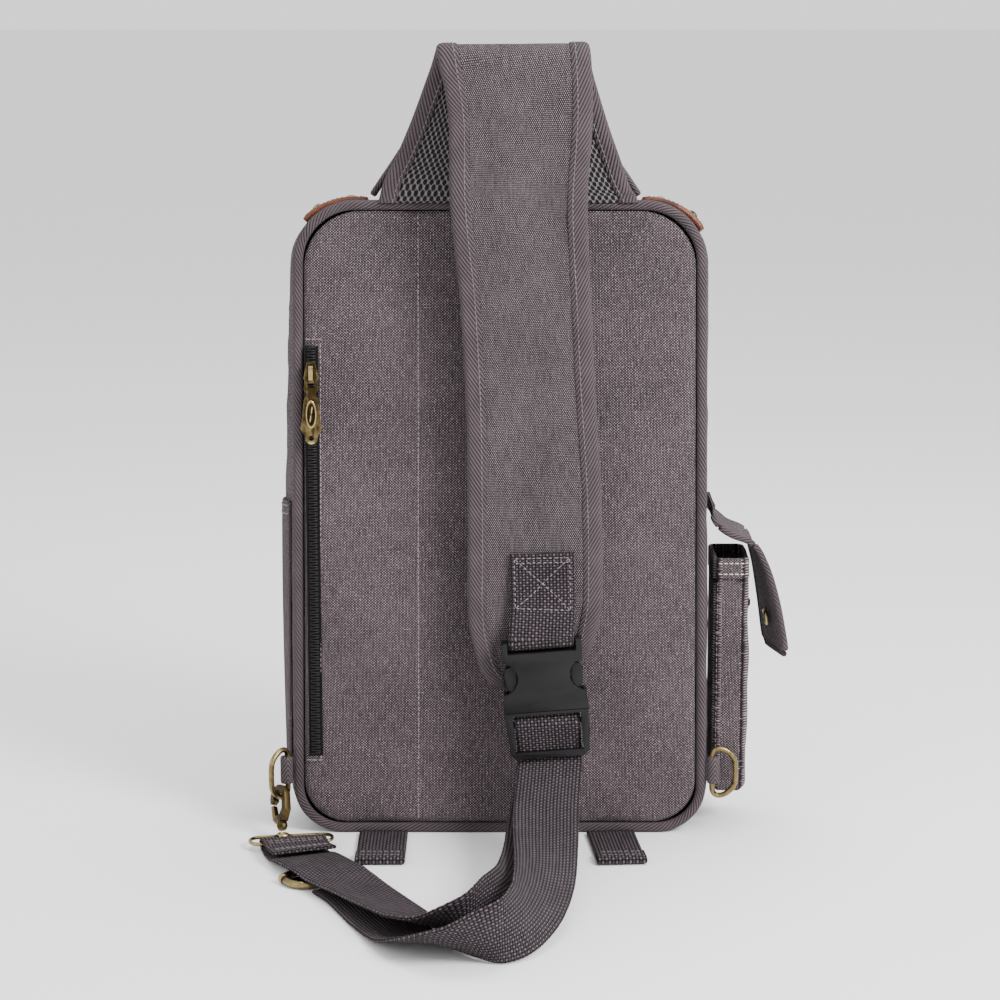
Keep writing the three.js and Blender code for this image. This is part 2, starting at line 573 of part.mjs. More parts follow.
// The sling webbing: its outer layer from the strap adjuster to the buckle, over the buckle's
// bar, and its inner layer back to the swivel loop, where its end is folded over and sewn.
const SLING_KEYS = [
  { at: [-88.5, -150.5, 1.7], across: [-0.89, -0.46, 0] },
  { at: [-79.5, -167, 1.7], across: [-0.9, -0.43, 0] },
  { at: [-61, -213, 2], across: [-0.9, -0.43, 0] },
  { at: [-50, -240, 4], across: [-0.85, -0.52, 0.06] },
  { at: [-37, -262, 8.6], across: [-0.65, -0.68, 0.36] },
  { at: [-21, -275, 13.5], across: [-0.25, -0.7, 0.68] },
  { at: [-3, -277, 18.6], across: [0, -0.25, 0.97] },
  { at: [10, -263, 20.6], across: [-0.25, 0.1, 0.95] },
  { at: [19, -235, 22.6], across: [-0.6, 0.15, 0.75] },
  { at: [24, -198, 25.6], across: [-0.85, 0.15, 0.5] },
  { at: [25.5, -153, 31], across: [-0.97, 0.1, 0.25] },
  { at: [26.5, -115, 38], across: [-1, 0, 0.05] },
  { at: [28.4, -87, 47], across: [-1, 0, -0.04] },
  { at: [29.3, -76.2, 54.4], across: [-1, 0, -0.08] },
  { at: [29, -75.1, 60.7], across: [-1, 0, -0.08] },
  { at: [28, -78, 73.1], across: [-1, 0, -0.08] },
  { at: [27.7, -78.6, 77.1], across: [-1, 0, -0.08] },
  { at: [27.4, -75.4, 81.1], across: [-1, 0, -0.08] },
  { at: [27.7, -72.2, 77.1], across: [-1, 0, -0.08] },
  { at: [28.2, -72.1, 71], across: [-1, 0, -0.08] },
  { at: [29.1, -71.6, 59.2], across: [-1, 0, -0.08] },
  { at: [28.8, -73, 50.5], across: [-1, 0, -0.04] },
  { at: [25.6, -90, 36], across: [-1, 0, 0] },
  { at: [22.6, -121, 27.2], across: [-0.97, 0.1, 0.18] },
  { at: [19.4, -158, 21.8], across: [-0.88, 0.15, 0.4] },
  { at: [14.2, -192, 19.4], across: [-0.72, 0.2, 0.62] },
  { at: [6, -221, 19.5], across: [-0.45, 0.1, 0.85] },
  { at: [-6, -241, 20], across: [-0.2, -0.1, 0.95] },
  { at: [-19, -251, 17.6], across: [-0.2, -0.55, 0.75] },
  { at: [-33.5, -247, 12.8], across: [-0.5, -0.7, 0.48] },
  { at: [-46, -232, 10.4], across: [-0.7, -0.6, 0.32] },
  { at: [-56, -210, 8.6], across: [-0.82, -0.5, 0.22] },
  { at: [-66, -190, 7.2], across: [-0.86, -0.48, 0.16] },
  { at: [-78, -168, 6.6], across: [-0.88, -0.46, 0.1] },
  { at: [-90, -149, 7.2], across: [-0.88, -0.47, 0] },
  { at: [-101, -130, 7.2], across: [-0.88, -0.47, 0] },
  { at: [-111, -110, 5.6], across: [-0.9, -0.4, 0] },
  { at: [-117, -95, 2.4], across: [-0.94, -0.3, 0] },
  { at: [-121.2, -78.6, 1.4], across: [-0.98, -0.18, 0] },
  { at: [-123, -71.9, 4.4], across: [-0.98, -0.18, 0] },
  { at: [-121.3, -78.6, 7.6], across: [-0.98, -0.18, 0] },
  { at: [-117, -94, 7.3], across: [-0.94, -0.3, 0] },
  { at: [-112.4, -106.5, 9.1], across: [-0.9, -0.4, 0] },
];

function buildWebbing() {
  addMesh('strap_tab', band(TAB_KEYS, { thickness: WEB, steps: 3 * (TAB_KEYS.length - 1) }), 'webbing');
  addMesh('sling_webbing', band(SLING_KEYS, { thickness: WEB, steps: 3 * (SLING_KEYS.length - 1) }), 'webbing');
  const lashes = [['left', -69.5, 0], ['right', 66, 0.08]];
  for (const [side, x, skew] of lashes) {
    const profile = new THREE.Shape();
    profile.moveTo(0, 0.2);
    profile.lineTo(60, 0.2);
    profile.lineTo(60, 4.9);
    profile.lineTo(46, 4.9);
    profile.lineTo(46, 2.4);
    profile.lineTo(0, 2.4);
    const strip = new THREE.ExtrudeGeometry(profile, { depth: 29, bevelEnabled: false });
    strip.translate(0, 0, -14.5).rotateX(Math.PI / 2).rotateZ(-Math.PI / 2);
    const lash = addMesh(`lash_strap_${side}`, reshape(positionsOnly(strip), (p) => p), 'webbing');
    lash.position.set(x, BACK_FACE - 2, 0);
    lash.rotation.z = skew;
  }
}

// ---------- metal hardware ----------
const RING_Y = -42.8;            // the D-rings' bars, just outside the back piping

const RING_TURN = THREE.MathUtils.degToRad(50);   // the left ring is pulled towards the hook

// A D-shaped ring: its straight bar on the local Z axis, its bow towards local +X.
function dRing() {
  const half = 14.6;
  const reach = 13.6;
  const outline = new THREE.CatmullRomCurve3([
    new THREE.Vector3(0, 0, 0), new THREE.Vector3(0, 0, half - 3), new THREE.Vector3(2, 0, half - 0.4),
    new THREE.Vector3(6.5, 0, half - 0.6), new THREE.Vector3(12.4, 0, half - 5.6), new THREE.Vector3(reach, 0, 0),
    new THREE.Vector3(12.4, 0, 5.6 - half), new THREE.Vector3(6.5, 0, 0.6 - half),
    new THREE.Vector3(2, 0, 0.4 - half), new THREE.Vector3(0, 0, 3 - half),
  ], true, 'centripetal');
  return wireLoop((u) => outline.getPointAt(u), new THREE.Vector3(0, 1, 0), 1.8, 36, 8);
}

function buildDRings() {
  const places = [['right', 1, 127, 37.5, 0], ['left', -1, -127, 37.5, RING_TURN]];
  for (const [side, sign, x, z, turn] of places) {
    const ring = addMesh(`d_ring_${side}`, dRing(), 'brass');
    ring.position.set(x, RING_Y, z);
    ring.rotation.z = sign > 0 ? 0 : Math.PI + turn;
    const tab = new THREE.Shape();
    tab.moveTo(x - sign * 3.4, RING_Y - 4);
    tab.lineTo(x + sign * 1, RING_Y - 4);
    tab.lineTo(x + sign * 3.4, RING_Y - 2.4);
    tab.lineTo(x + sign * 4.2, RING_Y);
    tab.lineTo(x + sign * 3.4, RING_Y + 2.4);
    tab.lineTo(x + sign * 1, RING_Y + 4);
    tab.lineTo(x - sign * 2.2, RING_Y + 4);
    tab.lineTo(x - sign * 3.4, RING_Y + 2);
    const bore = new THREE.Path();
    bore.absarc(x, RING_Y, 2.35, 0, 2 * Math.PI);
    tab.holes.push(bore);
    const loop = plate(tab, 31, 47, 8);
    addMesh(`d_tab_${side}`, reshape(positionsOnly(loop), (p) => p), 'webbing');
  }
}

// The slide lies flat: a round-cornered frame with one bar across its middle.
const SLIDE_AT = [-100, -133, 0];
const SLIDE_TURN = Math.atan2(0.47, 0.88);

function buildAdjuster() {
  const slide = new THREE.Group();
  slide.position.set(...SLIDE_AT);
  slide.rotation.z = SLIDE_TURN;
  bag.add(slide);
  const outline = roundedRect(46, 24, 11);
  const around = (u) => {
    const p = outline.getPoint(u);
    return new THREE.Vector3(p.x, p.y, 2.7);
  };
  const loop = wireLoop(around, UP, 2.4, 40, 8);
  addMesh('adjuster_slide', join(loop, pin(1.5, 45, 'x', 0, 0, 2.7, 10), pin(3, 4, 'y', -23, 4.6, 3.1, 12)), 'brass', slide);
}

// Swivel loop, snap hook with its swivel stem, and the hook's sprung gate. The hook leans from
// the loop's boss up to the left D-ring, whose wire passes through its claw.
const BOSS_AT = new THREE.Vector3(-128.6, -64.4, 5);
const CLAW_AT = new THREE.Vector3(-131.2, -47.8, 23.4);

function buildHook() {
  const loopGroup = new THREE.Group();
  loopGroup.position.set(-123, -70.4, 4.5);
  loopGroup.rotation.z = 0.18;
  bag.add(loopGroup);
  const outline = roundedRect(49, 13.6, 5.2);
  const around = (u) => {
    const p = outline.getPoint(u);
    return new THREE.Vector3(p.x, p.y - 0.5, 0);
  };
  const eye = wireLoop(around, UP, 1.25, 36, 6);
  const boss = pin(3.6, 3.2, 'z', -4.4, 6.9, 0.2, 12);
  const bossHole = pin(1.9, 6, 'z', -4.4, 6.9, 0.2, 12);
  addMesh('swivel_loop', cut(join(eye, boss), bossHole), 'brass', loopGroup);

  const hook = new THREE.Group();
  hook.position.copy(BOSS_AT);
  const axis = CLAW_AT.clone().sub(BOSS_AT);
  const reach = axis.length();
  axis.normalize();
  const wire = new THREE.Vector3(-Math.cos(RING_TURN), -Math.sin(RING_TURN), 0);
  const through = wire.addScaledVector(axis, -wire.dot(axis)).normalize();
  const side = new THREE.Vector3().crossVectors(through, axis);
  hook.quaternion.setFromRotationMatrix(new THREE.Matrix4().makeBasis(side, through, axis));
  bag.add(hook);
  const low = reach - 12.6;
  const claw = new THREE.Shape();
  claw.absarc(0, reach, 7.4, -0.1 * Math.PI, 1.02 * Math.PI);
  claw.lineTo(-7, low + 1.6);
  claw.lineTo(-3.4, low - 4);
  claw.lineTo(3.4, low - 4);
  claw.lineTo(6.6, low);
  claw.lineTo(3.2, low + 1.2);
  claw.lineTo(0, low + 0.4);
  claw.lineTo(-3.4, low + 3.8);
  claw.lineTo(-3.9, reach);
  claw.absarc(0, reach, 3.9, Math.PI, -0.1 * Math.PI, true);
  const stem = new THREE.LatheGeometry([
    new THREE.Vector2(0, 3.4), new THREE.Vector2(2.6, 3.8), new THREE.Vector2(3.4, 6), new THREE.Vector2(2.6, low - 2),
    new THREE.Vector2(0, low - 1.6),
  ], 12).rotateX(Math.PI / 2);
  addMesh('snap_hook', join(slab(claw, -2.1, 2.1, 8), stem), 'bronze', hook);
  const gate = new THREE.Shape();
  gate.moveTo(6.9, low + 0.8);
  gate.lineTo(7.4, reach - 3.6);
  gate.lineTo(5.2, reach - 3.6);
  gate.lineTo(4.2, low + 1.6);
  addMesh('hook_trigger', slab(gate, -1.6, 1.6), 'bronze', hook);
}

buildBody();
buildZips();
buildFrontPocket();
buildSidePockets();
buildTopHandle();
buildStrap();
buildBuckle();
buildWebbing();
buildDRings();
buildAdjuster();
buildHook();

export default bag;
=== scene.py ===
"""Looks of the canvas sling bag: cloth, webbing, leather, brass and plastic built on the CAD frame."""

import math

import bmesh
import bpy
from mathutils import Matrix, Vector, noise


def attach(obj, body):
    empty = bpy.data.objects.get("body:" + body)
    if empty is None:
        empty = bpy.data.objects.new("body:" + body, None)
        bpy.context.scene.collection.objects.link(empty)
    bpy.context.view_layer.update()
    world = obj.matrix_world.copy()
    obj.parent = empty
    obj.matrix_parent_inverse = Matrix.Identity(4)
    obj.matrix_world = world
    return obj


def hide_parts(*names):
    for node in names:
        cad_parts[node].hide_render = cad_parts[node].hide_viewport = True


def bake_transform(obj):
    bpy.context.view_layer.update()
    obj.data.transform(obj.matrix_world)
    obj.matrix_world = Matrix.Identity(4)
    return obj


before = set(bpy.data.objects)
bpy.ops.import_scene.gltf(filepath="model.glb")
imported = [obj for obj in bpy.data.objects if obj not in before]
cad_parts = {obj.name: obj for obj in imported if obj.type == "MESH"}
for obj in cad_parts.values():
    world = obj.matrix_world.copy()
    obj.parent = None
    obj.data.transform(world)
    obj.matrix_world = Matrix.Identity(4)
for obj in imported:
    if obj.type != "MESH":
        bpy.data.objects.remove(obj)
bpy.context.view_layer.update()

MM = 0.001                 # shapes below are in millimetres, Blender is in metres
X, Y, Z = Vector((1, 0, 0)), Vector((0, 1, 0)), Vector((0, 0, 1))

# ---------- driving dimensions, shared with the CAD ----------
BAG_HEIGHT = 376.5
PANEL_HALF = 113
BACK_FACE = -45
BACK_SEAM = -38.4
FRONT_SEAM = 21.6
PIPING_R = 2.9
FLARE = 0.035
FRONT_SHRINK = 0.03
SIDE_BULGE = 4.5
LEFT_FULLNESS = 0.9        # the side with no bellows pocket swells more, at mid height
CLOTH = 1.8
GAP = 0.3
WEB_WIDTH = 38
WEB = 2.2


# ---------- curves ----------
def cubic(before, start, end, after, t):
    """Centripetal Catmull-Rom between start and end, for numbers held as Vectors."""
    spans = [max((b - a).length, 1e-8) ** 0.5 for a, b in ((before, start), (start, end), (end, after))]
    middle = spans[1] if spans[1] > 1e-4 else 1.0
    first = spans[0] if spans[0] > 1e-4 else middle
    last = spans[2] if spans[2] > 1e-4 else middle
    leave = (start - before) / first - (end - before) / (first + middle) + (end - start) / middle
    arrive = (end - start) / middle - (after - start) / (middle + last) + (after - end) / last
    leave, arrive = leave * middle, arrive * middle
    bend = -3 * start + 3 * end - 2 * leave - arrive
    twist = 2 * start - 2 * end + leave + arrive
    return start + leave * t + bend * t * t + twist * t ** 3


def spline(keys, position):
    """The curve through keys at a position counted in key intervals."""
    span = min(int(position), len(keys) - 2)
    t = position - span
    start, end = keys[span], keys[span + 1]
    before = keys[span - 1] if span else 2 * start - end
    after = keys[span + 2] if span + 2 < len(keys) else 2 * end - start
    return cubic(before, start, end, after, t)


class Frame:
    """One station of a swept strip: where it is, its sideways, outward and forward directions."""

    def __init__(self, at, side, normal, width, run):
        self.at, self.side, self.normal, self.width, self.run = at, side, normal, width, run

    def point(self, a, b):
        return self.at + self.side * a + self.normal * b


def strip_frames(keys, per_key=8, first=0.0, last=None):
    """Frames along keys of (at, across, width)."""
    places = [Vector(k[0]) for k in keys]
    sides = [Vector(k[1]) for k in keys]
    widths = [Vector((k[2], 0, 0)) for k in keys]
    last = len(keys) - 1 if last is None else last
    count = max(2, round((last - first) * per_key))
    made, run, previous = [], 0.0, None
    for i in range(count + 1):
        u = first + (last - first) * i / count
        at = spline(places, u)
        low, high = max(u - 0.02, 0), min(u + 0.02, len(keys) - 1)
        along = (spline(places, high) - spline(places, low)).normalized()
        side = spline(sides, u)
        side = (side - along * side.dot(along)).normalized()
        normal = along.cross(side)
        run += (at - previous).length if previous else 0.0
        previous = at
        made.append(Frame(at, side, normal, spline(widths, u).x, run))
    return made


def frame_at(frames, run):
    """The frame at a distance along the strip."""
    for before, after in zip(frames, frames[1:]):
        if run <= after.run or after is frames[-1]:
            t = (run - before.run) / max(after.run - before.run, 1e-9)
            at = before.at.lerp(after.at, t)
            side = before.side.lerp(after.side, t).normalized()
            normal = before.normal.lerp(after.normal, t).normalized()
            width = before.width + (after.width - before.width) * t
            return Frame(at, side, normal, width, run)
    return frames[-1]


# ---------- the bag body's outline ----------
class Rim:
    """A rounded outline in X and Z, walked by distance from the middle of the base, first to +X."""

    def __init__(self, half, bottom, top, low_radius=26, high_radius=33):
        self.half, self.bottom, self.top = half, bottom, top
        self.low_radius, self.high_radius = low_radius, high_radius
        self.base = half - low_radius
        self.low_arc = math.pi / 2 * low_radius
        self.side = top - bottom - low_radius - high_radius
        self.high_arc = math.pi / 2 * high_radius
        self.crown = half - high_radius
        self.length = 2 * (self.base + self.low_arc + self.side + self.high_arc + self.crown)

    def right_half(self, d):
        if d < self.base:
            return d, self.bottom, 0.0, -1.0
        d -= self.base
        if d < self.low_arc:
            nx, nz = math.sin(d / self.low_radius), -math.cos(d / self.low_radius)
            return self.base + self.low_radius * nx, self.bottom + self.low_radius * (1 + nz), nx, nz
        d -= self.low_arc
        if d < self.side:
            return self.half, self.bottom + self.low_radius + d, 1.0, 0.0
        d -= self.side
        if d < self.high_arc:
            nx, nz = math.cos(d / self.high_radius), math.sin(d / self.high_radius)
            return self.crown + self.high_radius * nx, self.top - self.high_radius * (1 - nz), nx, nz
        return self.crown - (d - self.high_arc), self.top, 0.0, 1.0

    def at(self, distance):
        d = distance % self.length
        if d <= self.length / 2:
            return self.right_half(d)
        x, z, nx, nz = self.right_half(self.length - d)
        return -x, z, -nx, nz

    def right_at(self, z):
        return self.base + self.low_arc + z - self.bottom - self.low_radius

    def left_at(self, z):
        return self.length - self.right_at(z)

    def top_at(self, x):
        return self.length / 2 - x


def settle(p):
    """The soft body flares to its base, and its front edge stands a little lower and narrower."""
    forward = (p.y - BACK_SEAM) / (FRONT_SEAM - BACK_SEAM)
    x = p.x * (1 + FLARE * (1 - p.z / BAG_HEIGHT)) * (1 - 0.6 * FRONT_SHRINK * forward)
    return Vector((x, p.y, p.z * (1 - FRONT_SHRINK * forward)))


gusset_rim = Rim(PANEL_HALF + 5, CLOTH / 2, BAG_HEIGHT)
piping_rim = Rim(PANEL_HALF + 3.3, PIPING_R + 0.1, BAG_HEIGHT - 1.8)
panel_rim = Rim(PANEL_HALF, 2 * PIPING_R + 0.5, BAG_HEIGHT - 5.1)


def on_gusset(distance, y, lift):
    x, z, nx, nz = gusset_rim.at(distance)
    share = min(max((y - BACK_SEAM) / (FRONT_SEAM - BACK_SEAM), 0), 1)
    fullness = LEFT_FULLNESS * math.sin(math.pi * z / BAG_HEIGHT) if nx < 0 else 0.0
    out = lift + SIDE_BULGE * (1 + fullness) * nx * nx * math.sin(math.pi * share)
    return settle(Vector((x + nx * out, y, z + nz * out)))


def gusset_frames(start, end, y, lift, step=3.0):
    """Frames along the gusset at one Y, for tapes and stitches that lie on it."""
    count = max(2, round(abs(end - start) / step))
    made, run, previous = [], 0.0, None
    for i in range(count + 1):
        d = start + (end - start) * i / count
        at = on_gusset(d, y, lift)
        along = (on_gusset(d + 1, y, lift) - on_gusset(d - 1, y, lift)).normalized()
        side = (on_gusset(d, y + 1, lift) - on_gusset(d, y - 1, lift)).normalized()
        normal = side.cross(along).normalized()
        run += (at - previous).length if previous else 0.0
        previous = at
        made.append(Frame(at, side, normal, 0.0, run))
    return made


def ripple(x, y, z, size):
    """Smooth noise from -1 to 1 with features of the given size in millimetres."""
    return noise.noise(Vector((x, y, z)) / size)


# ---------- mesh building ----------
def build(name, points, faces, corner_uvs):
    """A mesh object with a UV map in metres, so that every weave has its real scale."""
    mesh = bpy.data.meshes.new(name)
    mesh.from_pydata([p * MM for p in points], [], faces)
    layer = mesh.uv_layers.new(name="cloth")
    for loop, (u, v) in zip(layer.data, corner_uvs):
        loop.uv = (u * MM, v * MM)
    shape = bmesh.new()
    shape.from_mesh(mesh)
    bmesh.ops.remove_doubles(shape, verts=shape.verts, dist=1e-6)
    bmesh.ops.recalc_face_normals(shape, faces=shape.faces)
    for face in shape.faces:
        face.smooth = True
    shape.to_mesh(mesh)
    shape.free()
    piece = bpy.data.objects.new(name, mesh)
    bpy.context.scene.collection.objects.link(piece)
    return piece


def rings(name, loops, joined=False, caps=True, flat_uv=None, runs=None):
    """Skins a row of loops. flat_uv maps a point to its UV; else UV is (round the loop, along).

    runs gives the distance along at each loop, where it isn't to be measured on the first column.
    """
    size, points = len(loops[0]), [p for loop in loops for p in loop]
    around = [0.0]
    for j in range(size):
        around.append(around[-1] + (loops[0][(j + 1) % size] - loops[0][j]).length)
    along = [0.0]
    for i in range(len(loops)):
        along.append(along[-1] + (loops[(i + 1) % len(loops)][0] - loops[i][0]).length)
    along = runs or along
    faces, uvs = [], []
    for i in range(len(loops) if joined else len(loops) - 1):
        for j in range(size):
            cells = [(i, j), (i, j + 1), (i + 1, j + 1), (i + 1, j)]
            face = [(a % len(loops)) * size + b % size for a, b in cells]
            faces.append(face)
            if flat_uv:
                uvs += [flat_uv(points[k]) for k in face]
            else:
                uvs += [(around[b], along[a]) for a, b in cells]
    if caps and not joined:
        for i in (0, len(loops) - 1):
            face = [i * size + j for j in range(size)]
            faces.append(face)
            uvs += [flat_uv(points[k]) if flat_uv else (points[k].x, points[k].z) for k in face]
    return build(name, points, faces, uvs)


def flat_section(width, thickness, columns=8, crown=0.0, dish=0.0):
    """A strip's cross-section with rounded edges: (across, outward) points."""
    half, r = width / 2, thickness / 2
    top = []
    for i in range(columns + 1):
        a = -half + r + (width - thickness) * i / columns
        share = 1 - (a / half) ** 2
        top.append((a, r + crown * share - dish * share))
    nose = [(half - 0.3 * r, 0.7 * r), (half, 0), (half - 0.3 * r, -0.7 * r)]
    under = [(a, -r) for a, _ in reversed(top)]
    tail = [(-a, b) for a, b in reversed(nose)]
    return top + nose + under + tail


def sweep(name, frames, section):
    """Carries a cross-section, which may depend on the frame, along the frames."""
    loops = [[f.point(a, b) for a, b in section(f)] for f in frames]
    return rings(name, loops, runs=[f.run for f in frames])


def lathe(name, at, axis, profile, steps=32):
    """A round piece from (radius, height) pairs along an axis."""
    axis = axis.normalized()
    side = axis.orthogonal().normalized()
    other = axis.cross(side)
    loops = []
    for radius, height in profile:
        turn = [2 * math.pi * k / steps for k in range(steps)]
        r = max(radius, 0.001)
        loops.append([at + axis * height + (side * math.cos(t) + other * math.sin(t)) * r for t in turn])
    return rings(name, loops)


def tube(name, path, radius, sides=10, joined=False, normal=None):
    """A round wire or cord along points."""
    count = len(path)
    loops = []
    for i, p in enumerate(path):
        if joined:
            along = (path[(i + 1) % count] - path[i - 1]).normalized()
        else:
            along = (path[min(i + 1, count - 1)] - path[max(i - 1, 0)]).normalized()
        side = (normal or along.orthogonal()).cross(along).normalized()
        other = along.cross(side)
        turn = [2 * math.pi * k / sides for k in range(sides)]
        loops.append([p + (side * math.cos(t) + other * math.sin(t)) * radius for t in turn])
    return rings(name, loops, joined=joined)


STITCH, STITCH_GAP, THREAD = 2.5, 0.8, 0.33


def stitches(name, paths, length=STITCH, gap=STITCH_GAP, thread=THREAD):
    """Rows of thread: each path is a list of (point, outward direction) pairs."""
    points, faces = [], []
    for path in paths:
        runs = [0.0]
        for (a, _), (b, _) in zip(path, path[1:]):
            runs.append(runs[-1] + (b - a).length)
        count = max(1, round(runs[-1] / (length + gap)))
        pitch = runs[-1] / count

        def place(run):
            i = max(k for k in range(len(runs) - 1) if runs[k] <= run + 1e-9)
            t = (run - runs[i]) / max(runs[i + 1] - runs[i], 1e-9)
            return path[i][0].lerp(path[i + 1][0], t), path[i][1].lerp(path[i + 1][1], t).normalized()

        for k in range(count):
            start = k * pitch + gap / 2
            shape = [(0, -0.35, 0.35), (0.22, 0.2, 1), (0.78, 0.2, 1), (1, -0.35, 0.35)]
            base = len(points)
            for share, rise, size in shape:
                at, up = place(start + share * (pitch - gap))
                ahead = (place(start + pitch - gap)[0] - place(start)[0]).normalized()
                side = ahead.cross(up).normalized()
                for turn in range(6):
                    angle = math.pi / 3 * turn
                    out = side * math.cos(angle) * size + up * (math.sin(angle) * size + rise)
                    points.append(at + out * thread)
            for ring in range(3):
                for turn in range(6):
                    low, high = base + ring * 6, base + ring * 6 + 6
                    faces.append([low + turn, low + (turn + 1) % 6, high + (turn + 1) % 6, high + turn])
            faces.append([base + turn for turn in range(6)])
            faces.append([base + 18 + turn for turn in range(6)])
    uvs = [(points[k].x, points[k].z) for face in faces for k in face]
    return build(name, points, faces, uvs)


# ---------- materials ----------
def tone(code):
    """A linear colour from a hex code."""
    parts = [int(code[i:i + 2], 16) / 255 for i in (1, 3, 5)]
    return [p / 12.92 if p < 0.04045 else ((p + 0.055) / 1.055) ** 2.4 for p in parts] + [1.0]


class Graph:
    """Short calls for building one material's nodes."""

    def __init__(self, name, roughness, metallic=0.0, **shader_values):
        self.material = bpy.data.materials.new(name)
        self.material.use_nodes = True
        self.tree = self.material.node_tree
        self.shader = self.tree.nodes["Principled BSDF"]
        self.put(self.shader.inputs["Roughness"], roughness)
        self.put(self.shader.inputs["Metallic"], metallic)
        for key, value in shader_values.items():
            self.put(self.shader.inputs[key.replace("_", " ")], value)

    def put(self, socket, value):
        if isinstance(value, bpy.types.NodeSocket):
            self.tree.links.new(value, socket)
        else:
            socket.default_value = value

    def add(self, kind, inputs, out=0, **settings):
        node = self.tree.nodes.new("ShaderNode" + kind)
        for key, value in settings.items():
            setattr(node, key, value)
        for key, value in inputs.items():
            self.put(node.inputs[key], value)
        return node.outputs[out]

    def math(self, operation, a, b=0.0):
        return self.add("Math", {0: a, 1: b}, operation=operation)

    def mix(self, factor, a, b):
        return self.add("Mix", {0: factor, 6: a, 7: b}, out=2, data_type="RGBA")

    def blend(self, factor, a, b):
        return self.add("Mix", {0: factor, 2: a, 3: b}, data_type="FLOAT")

    def band(self, value, low, high, out_low=0.0, out_high=1.0):
        inputs = {0: value, 1: low, 2: high, 3: out_low, 4: out_high}
        return self.add("MapRange", inputs, clamp=True)

    def uv(self):
        """U and V in metres, and both as a vector."""
        vector = self.add("UVMap", {}, uv_map="cloth")
        split = self.tree.nodes.new("ShaderNodeSeparateXYZ")
        self.put(split.inputs[0], vector)
        return split.outputs[0], split.outputs[1], vector

    def place(self):
        return self.add("TexCoord", {}, out=3)

    def noise(self, vector, size, detail=2.0, stretch=(1, 1, 1)):
        """Noise with features of a size in millimetres, longer where stretch is above 1."""
        scale = [1 / (size * MM * s) for s in stretch]
        moved = self.add("Mapping", {0: vector, 3: scale})
        return self.add("TexNoise", {"Vector": moved, "Scale": 1.0, "Detail": detail})

    def arch(self, value, pitch):
        """A rounded ridge every pitch millimetres, from 0 to 1."""
        angle = self.math("MULTIPLY", value, math.pi / (pitch * MM))
        return self.math("ABSOLUTE", self.math("SINE", angle))

    def wave(self, value, pitch):
        angle = self.math("MULTIPLY", value, math.pi / (pitch * MM))
        return self.math("SINE", angle)

    def bump(self, height, depth, strength=1.0):
        """depth is the height of the relief in millimetres."""
        inputs = {"Strength": strength, "Distance": depth * MM, "Height": height}
        self.put(self.shader.inputs["Normal"], self.add("Bump", inputs))

    def colour(self, value):
        self.put(self.shader.inputs["Base Color"], value)


def woven(name, dark, mid, pale, across, along, depth, fleck=0.5):
    """Plain weave: round floats of warp and weft in a chequer, with uneven dye and pale flecks. The colour
    also follows yarn height: painted shade darkens the gaps, and a painted highlight lightens the warp
    floats' crowns.
    """
    g = Graph(name, 0.95, Sheen_Weight=0.03, Sheen_Roughness=0.6, Specular_IOR_Level=0.1)
    u, v, vector = g.uv()
    chequer = g.math("GREATER_THAN", g.math("MULTIPLY", g.wave(u, across), g.wave(v, along)), 0.0)
    warp = g.math("MULTIPLY", g.arch(u, across), g.math("SQRT", g.arch(v, along)))
    weft = g.math("MULTIPLY", g.arch(v, along), g.math("SQRT", g.arch(u, across)))
    height = g.blend(chequer, g.math("MULTIPLY", weft, 0.75), warp)
    yarn = g.noise(vector, across * 1.1, 2.0, (1, 9, 1))
    weft_yarn = g.noise(vector, along * 1.1, 2.0, (9, 1, 1))
    streak = g.blend(chequer, weft_yarn, yarn)
    wash = g.noise(vector, 55.0, 4.0)
    # light mixes the yarn height, painted as shade in the gaps and highlight on the crowns, with yarn
    # streaks and uneven dye
    light = g.math("ADD", g.math("MULTIPLY", height, 0.62), g.math("MULTIPLY", streak, 0.5))
    light = g.math("ADD", light, g.math("MULTIPLY", g.math("SUBTRACT", wash, 0.5), 0.22))
    body = g.mix(g.band(light, 0.3, 0.85), tone(dark), tone(mid))
    # painted highlight on the crowns of the warp floats, in the pale colour
    float_highlight = g.math("MULTIPLY", chequer, g.band(light, 0.5, 0.95))
    body = g.mix(float_highlight, body, tone(pale))
    speck = g.band(g.noise(vector, 0.9, 0.0), 0.68, 0.78, 0.0, fleck)
    g.colour(g.mix(speck, body, tone("#cdc4c4")))
    g.bump(height, depth)
    return g.material


def twill(name, dark, pale, pitch, depth, herringbone=0.0, slope=0.62):
    """Ribbed tape; the ribs turn back every `herringbone` millimetres. Its colour follows the rib height:
    painted shade in the grooves, a painted highlight on the rib tops.
    """
    g = Graph(name, 0.93, Sheen_Weight=0.03, Sheen_Roughness=0.5, Specular_IOR_Level=0.12)
    u, v, vector = g.uv()
    if herringbone:
        u = g.math("PINGPONG", u, herringbone * MM)
    ramp = g.math("ADD", g.math("MULTIPLY", v, slope), u)
    ribs = g.arch(ramp, pitch)
    thread = g.arch(g.math("SUBTRACT", g.math("MULTIPLY", v, 1.0), g.math("MULTIPLY", u, 0.6)), pitch * 0.62)
    height = g.math("MULTIPLY", ribs, g.band(thread, 0, 1, 0.72, 1.0))
    wash = g.noise(vector, 18.0, 4.0)
    # light mixes the rib height, as painted shade in the grooves and painted highlight on the tops, with the
    # uneven dye
    light = g.math("ADD", g.math("MULTIPLY", height, 0.75), g.math("MULTIPLY", wash, 0.5))
    g.colour(g.mix(g.band(light, 0.1, 1.1), tone(dark), tone(pale)))
    g.bump(height, depth)
    return g.material


